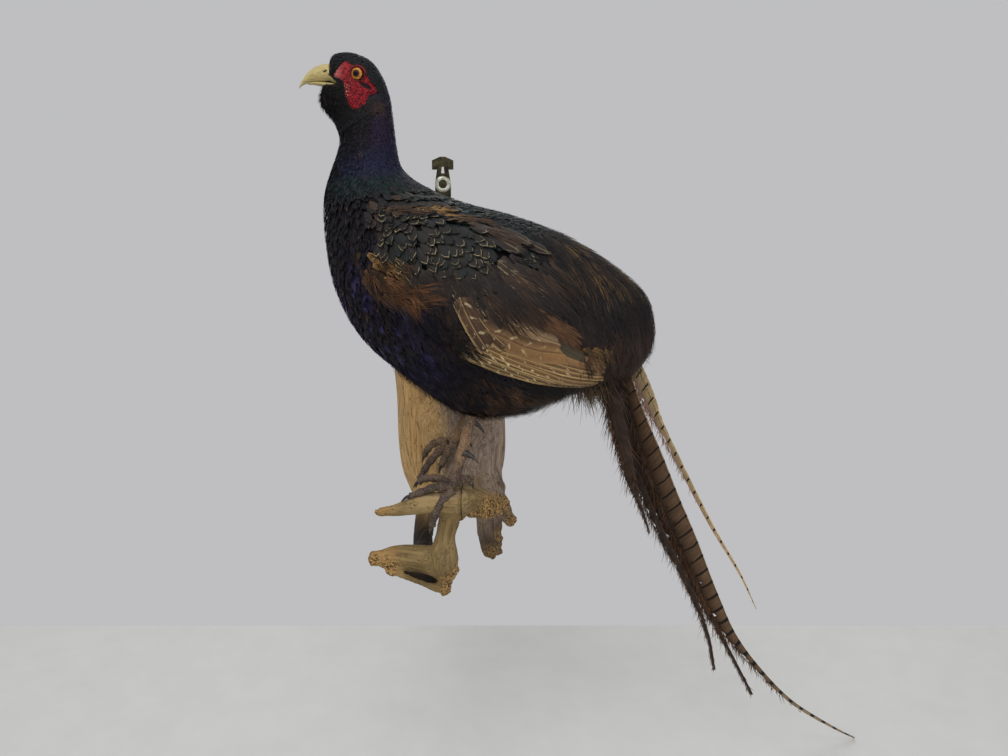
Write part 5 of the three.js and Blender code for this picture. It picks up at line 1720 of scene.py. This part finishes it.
def carve(mesh):
    """Cuts the flat back and gives the wood its long grooves, cracks and crumbled ends."""
    bm = bmesh.new()
    bm.from_mesh(mesh)
    for _ in range(2):
        bmesh.ops.smooth_vert(bm, verts=bm.verts, factor=0.5,
                              use_axis_x=True, use_axis_y=True, use_axis_z=True)
    bm.normal_update()
    place = np.array([v.co[:] for v in bm.verts]) / MM
    normal = np.array([v.normal[:] for v in bm.verts])
    run, damage, _ = wood_fields(place)
    long_ = run * [1, 1, 0.06]
    groove = layered(long_, 8.0, 1)
    crack = np.clip(0.05 - np.abs(grain(run * [1, 1, 0.05], 13.0, 5)), 0, 0.05) / 0.05
    crumble = layered(place, 7.0, 12, 4)
    pits = np.clip(grain(place, 3.4, 21) - 0.05, 0, 1)
    x, y, z = place.T
    # the seam between the perch and the limb under it
    split = np.exp(-(((x - 27.5 + 0.4 * layered(place, 5.0, 30)) / 0.9) ** 2))
    split = split * (y < -190) * smooth((z + 66) / 4) * smooth((-28 - z) / 4)
    depth = 0.35 * groove - 0.9 * crack * (1 - damage) + damage * (2.2 * crumble - 3.4 * pits) - 2.6 * split
    back = smooth((-y - 2.0) / 5.0)
    place = place + normal * (depth * back)[:, None]
    for vert, co in zip(bm.verts, (place * MM).tolist()):
        vert.co = co
    cut = bmesh.ops.bisect_plane(bm, geom=[*bm.verts, *bm.edges, *bm.faces], plane_co=(0, -0.0003, 0),
                                 plane_no=(0, 1, 0), clear_outer=True, dist=1e-6)
    rim = [item for item in cut["geom_cut"] if isinstance(item, bmesh.types.BMEdge)]
    bmesh.ops.triangle_fill(bm, edges=rim, use_beauty=True)
    bm.to_mesh(mesh)
    bm.free()
    run, damage, dark = wood_fields(places_of(mesh))
    layer = mesh.attributes.new("run", "FLOAT_VECTOR", "POINT")
    layer.data.foreach_set("vector", (run * MM).astype(np.float32).ravel())
    store(mesh, "damage", damage)
    # dark holds the painted shade of the limbs that lie in shadow
    store(mesh, "dark", dark)


def wood_finish():
    """Weathered wood: fine grain along each limb, golden tan on one side of the trunk and grey on the
    other, with small pits, and a crumbled golden crust where it is broken."""
    f = Finish("driftwood", {"Specular IOR Level": 0.2})
    where, run = f.space(), f.attribute("run", 1)
    damage, dark = f.attribute("damage", 2), f.attribute("dark", 2)
    x, y, z = f.split(where)
    fibres = f.noise(f.scaled(run, (420.0, 420.0, 16.0)), 1.0, 4.0, 0.65)
    bands = f.noise(f.scaled(run, (80.0, 80.0, 5.0)), 1.0, 3.0)
    cloud = f.noise(where, 22.0, 3.0)
    front = (-y).between(0.14, 0.2) * (-z).between(0.022, 0.036)
    tan = f.mix((158, 124, 78), (194, 160, 108), fibres.between(0.3, 0.7))
    olive = f.mix((100, 82, 50), (146, 124, 84), (fibres * 0.4 + cloud * 0.6).between(0.36, 0.6))
    olive = f.mix(olive, (168, 130, 78), (-x).between(0.022, 0.05) * 0.6)
    grey = f.mix((122, 104, 90), (170, 150, 130), fibres.between(0.3, 0.7))
    aged = (x + cloud * 0.06).between(0.02, 0.05)
    base = f.mix(f.mix(tan, grey, aged), olive, front)
    streak = bands.between(0.54, 0.7) * (0.35 + aged * 0.3)
    base = f.mix(base, (84, 66, 48), streak)
    lines = f.noise(f.scaled(run, (190.0, 190.0, 9.0)), 1.0, 3.0)
    base = f.mix(base, (52, 40, 28), lines.near(0.5, 0.016) * 0.8)
    # painted shade: the seam between the perch and the limb under it is painted near black
    gap = (x - 0.0282 + cloud * 0.003).near(0.0015, 0.0009) * (-y).between(0.19, 0.2)
    base = f.mix(base, (20, 15, 11), gap * (-z).between(0.027, 0.03) * (z + 0.066).between(0.0, 0.004))
    specks = f.noise(where, 380.0, 2.0).between(0.6, 0.68) * f.noise(where, 60.0).between(0.45, 0.6)
    base = f.mix(base, (58, 42, 26), specks * 0.8)
    # painted shade: limbs that lie in shadow under or behind other wood are painted near black
    base = f.mix(base, f.mix((15, 12, 10), (52, 42, 34), fibres.between(0.35, 0.75)), dark)
    rough = f.noise(where, 480.0, 5.0, 0.75)
    crust = f.mix((36, 25, 14), (174, 138, 86), rough.between(0.42, 0.56))
    base = f.mix(base, crust, (damage * 1.5).clamp() * (0.92 - dark * 0.45))
    f.paint({"Base Color": base, "Roughness": 0.88 - bands * 0.12})
    f.bump(fibres * 0.5 + bands * 0.3 + rough * damage * 1.2, 0.7, 0.001)
    return f.material


# ---- hanger ----

def hanger_ring():
    """The pale ring round the hanger's screw, turned from its profile."""
    low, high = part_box("hanger_ring")
    centre = (low + high) / 2
    outer = (high.x - low.x) / 2
    hole, thick = 0.0042, 0.0026
    profile = [(hole, 0), (outer, 0), (outer, 0.0012), (outer - 0.0016, thick), (hole + 0.0006, thick),
               (hole, 0.0018)]
    bm = bmesh.new()
    ring = [bm.verts.new((centre.x + r, high.y - h, centre.z)) for r, h in profile]
    edges = [bm.edges.new(ends) for ends in zip(ring, ring[1:] + ring[:1])]
    bmesh.ops.spin(bm, geom=edges, cent=centre, axis=(0, 1, 0), angle=2 * PI, steps=64, use_merge=True)
    bmesh.ops.bevel(bm, geom=[e for e in bm.edges if e.calc_face_angle(0) > 0.5], offset=0.00025,
                    offset_type="OFFSET", segments=2, profile=0.5, affect="EDGES", material=-1)
    bmesh.ops.recalc_face_normals(bm, faces=bm.faces)
    pale = metal_finish("pale_metal", (206, 208, 196), (150, 150, 130))
    return piece("ring", mesh_of(bm, "hanger_ring"), pale, ["hanger_ring"])


def metal_finish(name, bright, dull):
    f = Finish(name, {"Specular IOR Level": 0.5})
    where = f.space()
    stain = f.noise(where, 160.0, 5.0, 0.7)
    wear = f.noise(where, 900.0, 2.0)
    f.paint({"Base Color": f.mix(dull, bright, stain.between(0.38, 0.62)),
             "Metallic": 0.9 - stain * 0.25, "Roughness": 0.3 + wear * 0.3})
    f.bump(wear * 0.5 + stain * 0.5, 0.25, 0.0002)
    return f.material


def hanger():
    brass = metal_finish("hanger_metal", (70, 64, 42), (32, 28, 18))
    for name in ("hanger_plate", "hanger_screw"):
        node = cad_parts[name]
        node.data.materials.clear()
        node.data.materials.append(brass)
        bevel = node.modifiers.new("edges", "BEVEL")
        bevel.width = 0.0003
        bevel.segments = 2
        bevel.limit_method = "ANGLE"
    hanger_ring()


# ---- camera, light and floor ----

CAMERA_PLACE = (0.0675, -0.890, 0.2244)
CAMERA_TILT = 77.5  # degrees up from straight down
LENS = 27.18
SENSOR = 36
LAMP_AIM = Vector((0.05, -0.2, 0.1))
LAMPS = {  # place, size and power
    "overhead": ((-0.3, -0.9, 1.5), 1.4, 17),
    "front": ((0.5, -1.9, 0.5), 1.6, 11),
    "behind": ((0.3, 1.5, 1.2), 1.6, 12),
}
STUDIO_GREY = (0.52, 0.52, 0.535, 1)
FLOOR_TONES = (0.50, 0.50, 0.48, 1), (0.56, 0.56, 0.54, 1)
FLOOR_TOP = -0.312
FLOOR_SIZE = (3.0, 1.6, 0.03)
FLOOR_MIDDLE = (0.05, -0.78)


def stage():
    camera = placed("camera", bpy.data.cameras.new("camera"))
    camera.data.lens = LENS
    camera.data.sensor_width = SENSOR
    camera.location = CAMERA_PLACE
    camera.rotation_euler = (math.radians(CAMERA_TILT), 0, 0)
    bpy.context.scene.camera = camera
    for name, (place, size, watts) in LAMPS.items():
        light = placed(name, bpy.data.lights.new(name, "AREA"))
        light.data.size = size
        light.data.energy = watts
        light.location = place
        aim = LAMP_AIM - light.location
        light.rotation_euler = aim.to_track_quat("-Z", "Y").to_euler()
    world = bpy.data.worlds.new("studio")
    world.use_nodes = True
    world.node_tree.nodes["Background"].inputs["Color"].default_value = STUDIO_GREY
    bpy.context.scene.world = world
    bpy.context.scene.view_settings.view_transform = "Standard"
    bm = bmesh.new()
    bmesh.ops.create_cube(bm, size=1.0)
    bmesh.ops.scale(bm, verts=bm.verts, vec=FLOOR_SIZE)
    bmesh.ops.translate(bm, verts=bm.verts, vec=(*FLOOR_MIDDLE, FLOOR_TOP - FLOOR_SIZE[2] / 2))
    floor = placed("floor", mesh_of(bm, "floor"))
    paint = Finish("floor", {"Roughness": 0.6})
    fleck = paint.noise(paint.space(), 30.0, 3.0)
    paint.paint({"Base Color": paint.mix(*FLOOR_TONES, fleck)})
    floor.data.materials.append(paint.material)


PLUMAGE = plumage_finish()
LACED = laced_finish()
QUILL = quill_finish()
BARRED = barred_finish()
GLASS_EYE = eye_finish()
LEG_SCALE = leg_finish()
CLAW_HORN = claw_finish()

stage()
skin()
head_coat()
neck_coat()
trunk_coat("breast_coat", 9.5, 12.9, 3.7, [13, 17, 20, 24])
trunk_coat("back_coat", 12.9, 17.6, 4.6, [14, 19, 23, 28])
rump_coat()
belly_coat()
for side_name in SIDES:
    wing(side_name)
    eye(side_name)
    leg(side_name)
for feather, facts in TAIL.items():
    tail_feather(feather, *facts)
undertail_tuft()
bill()
driftwood()
hanger()
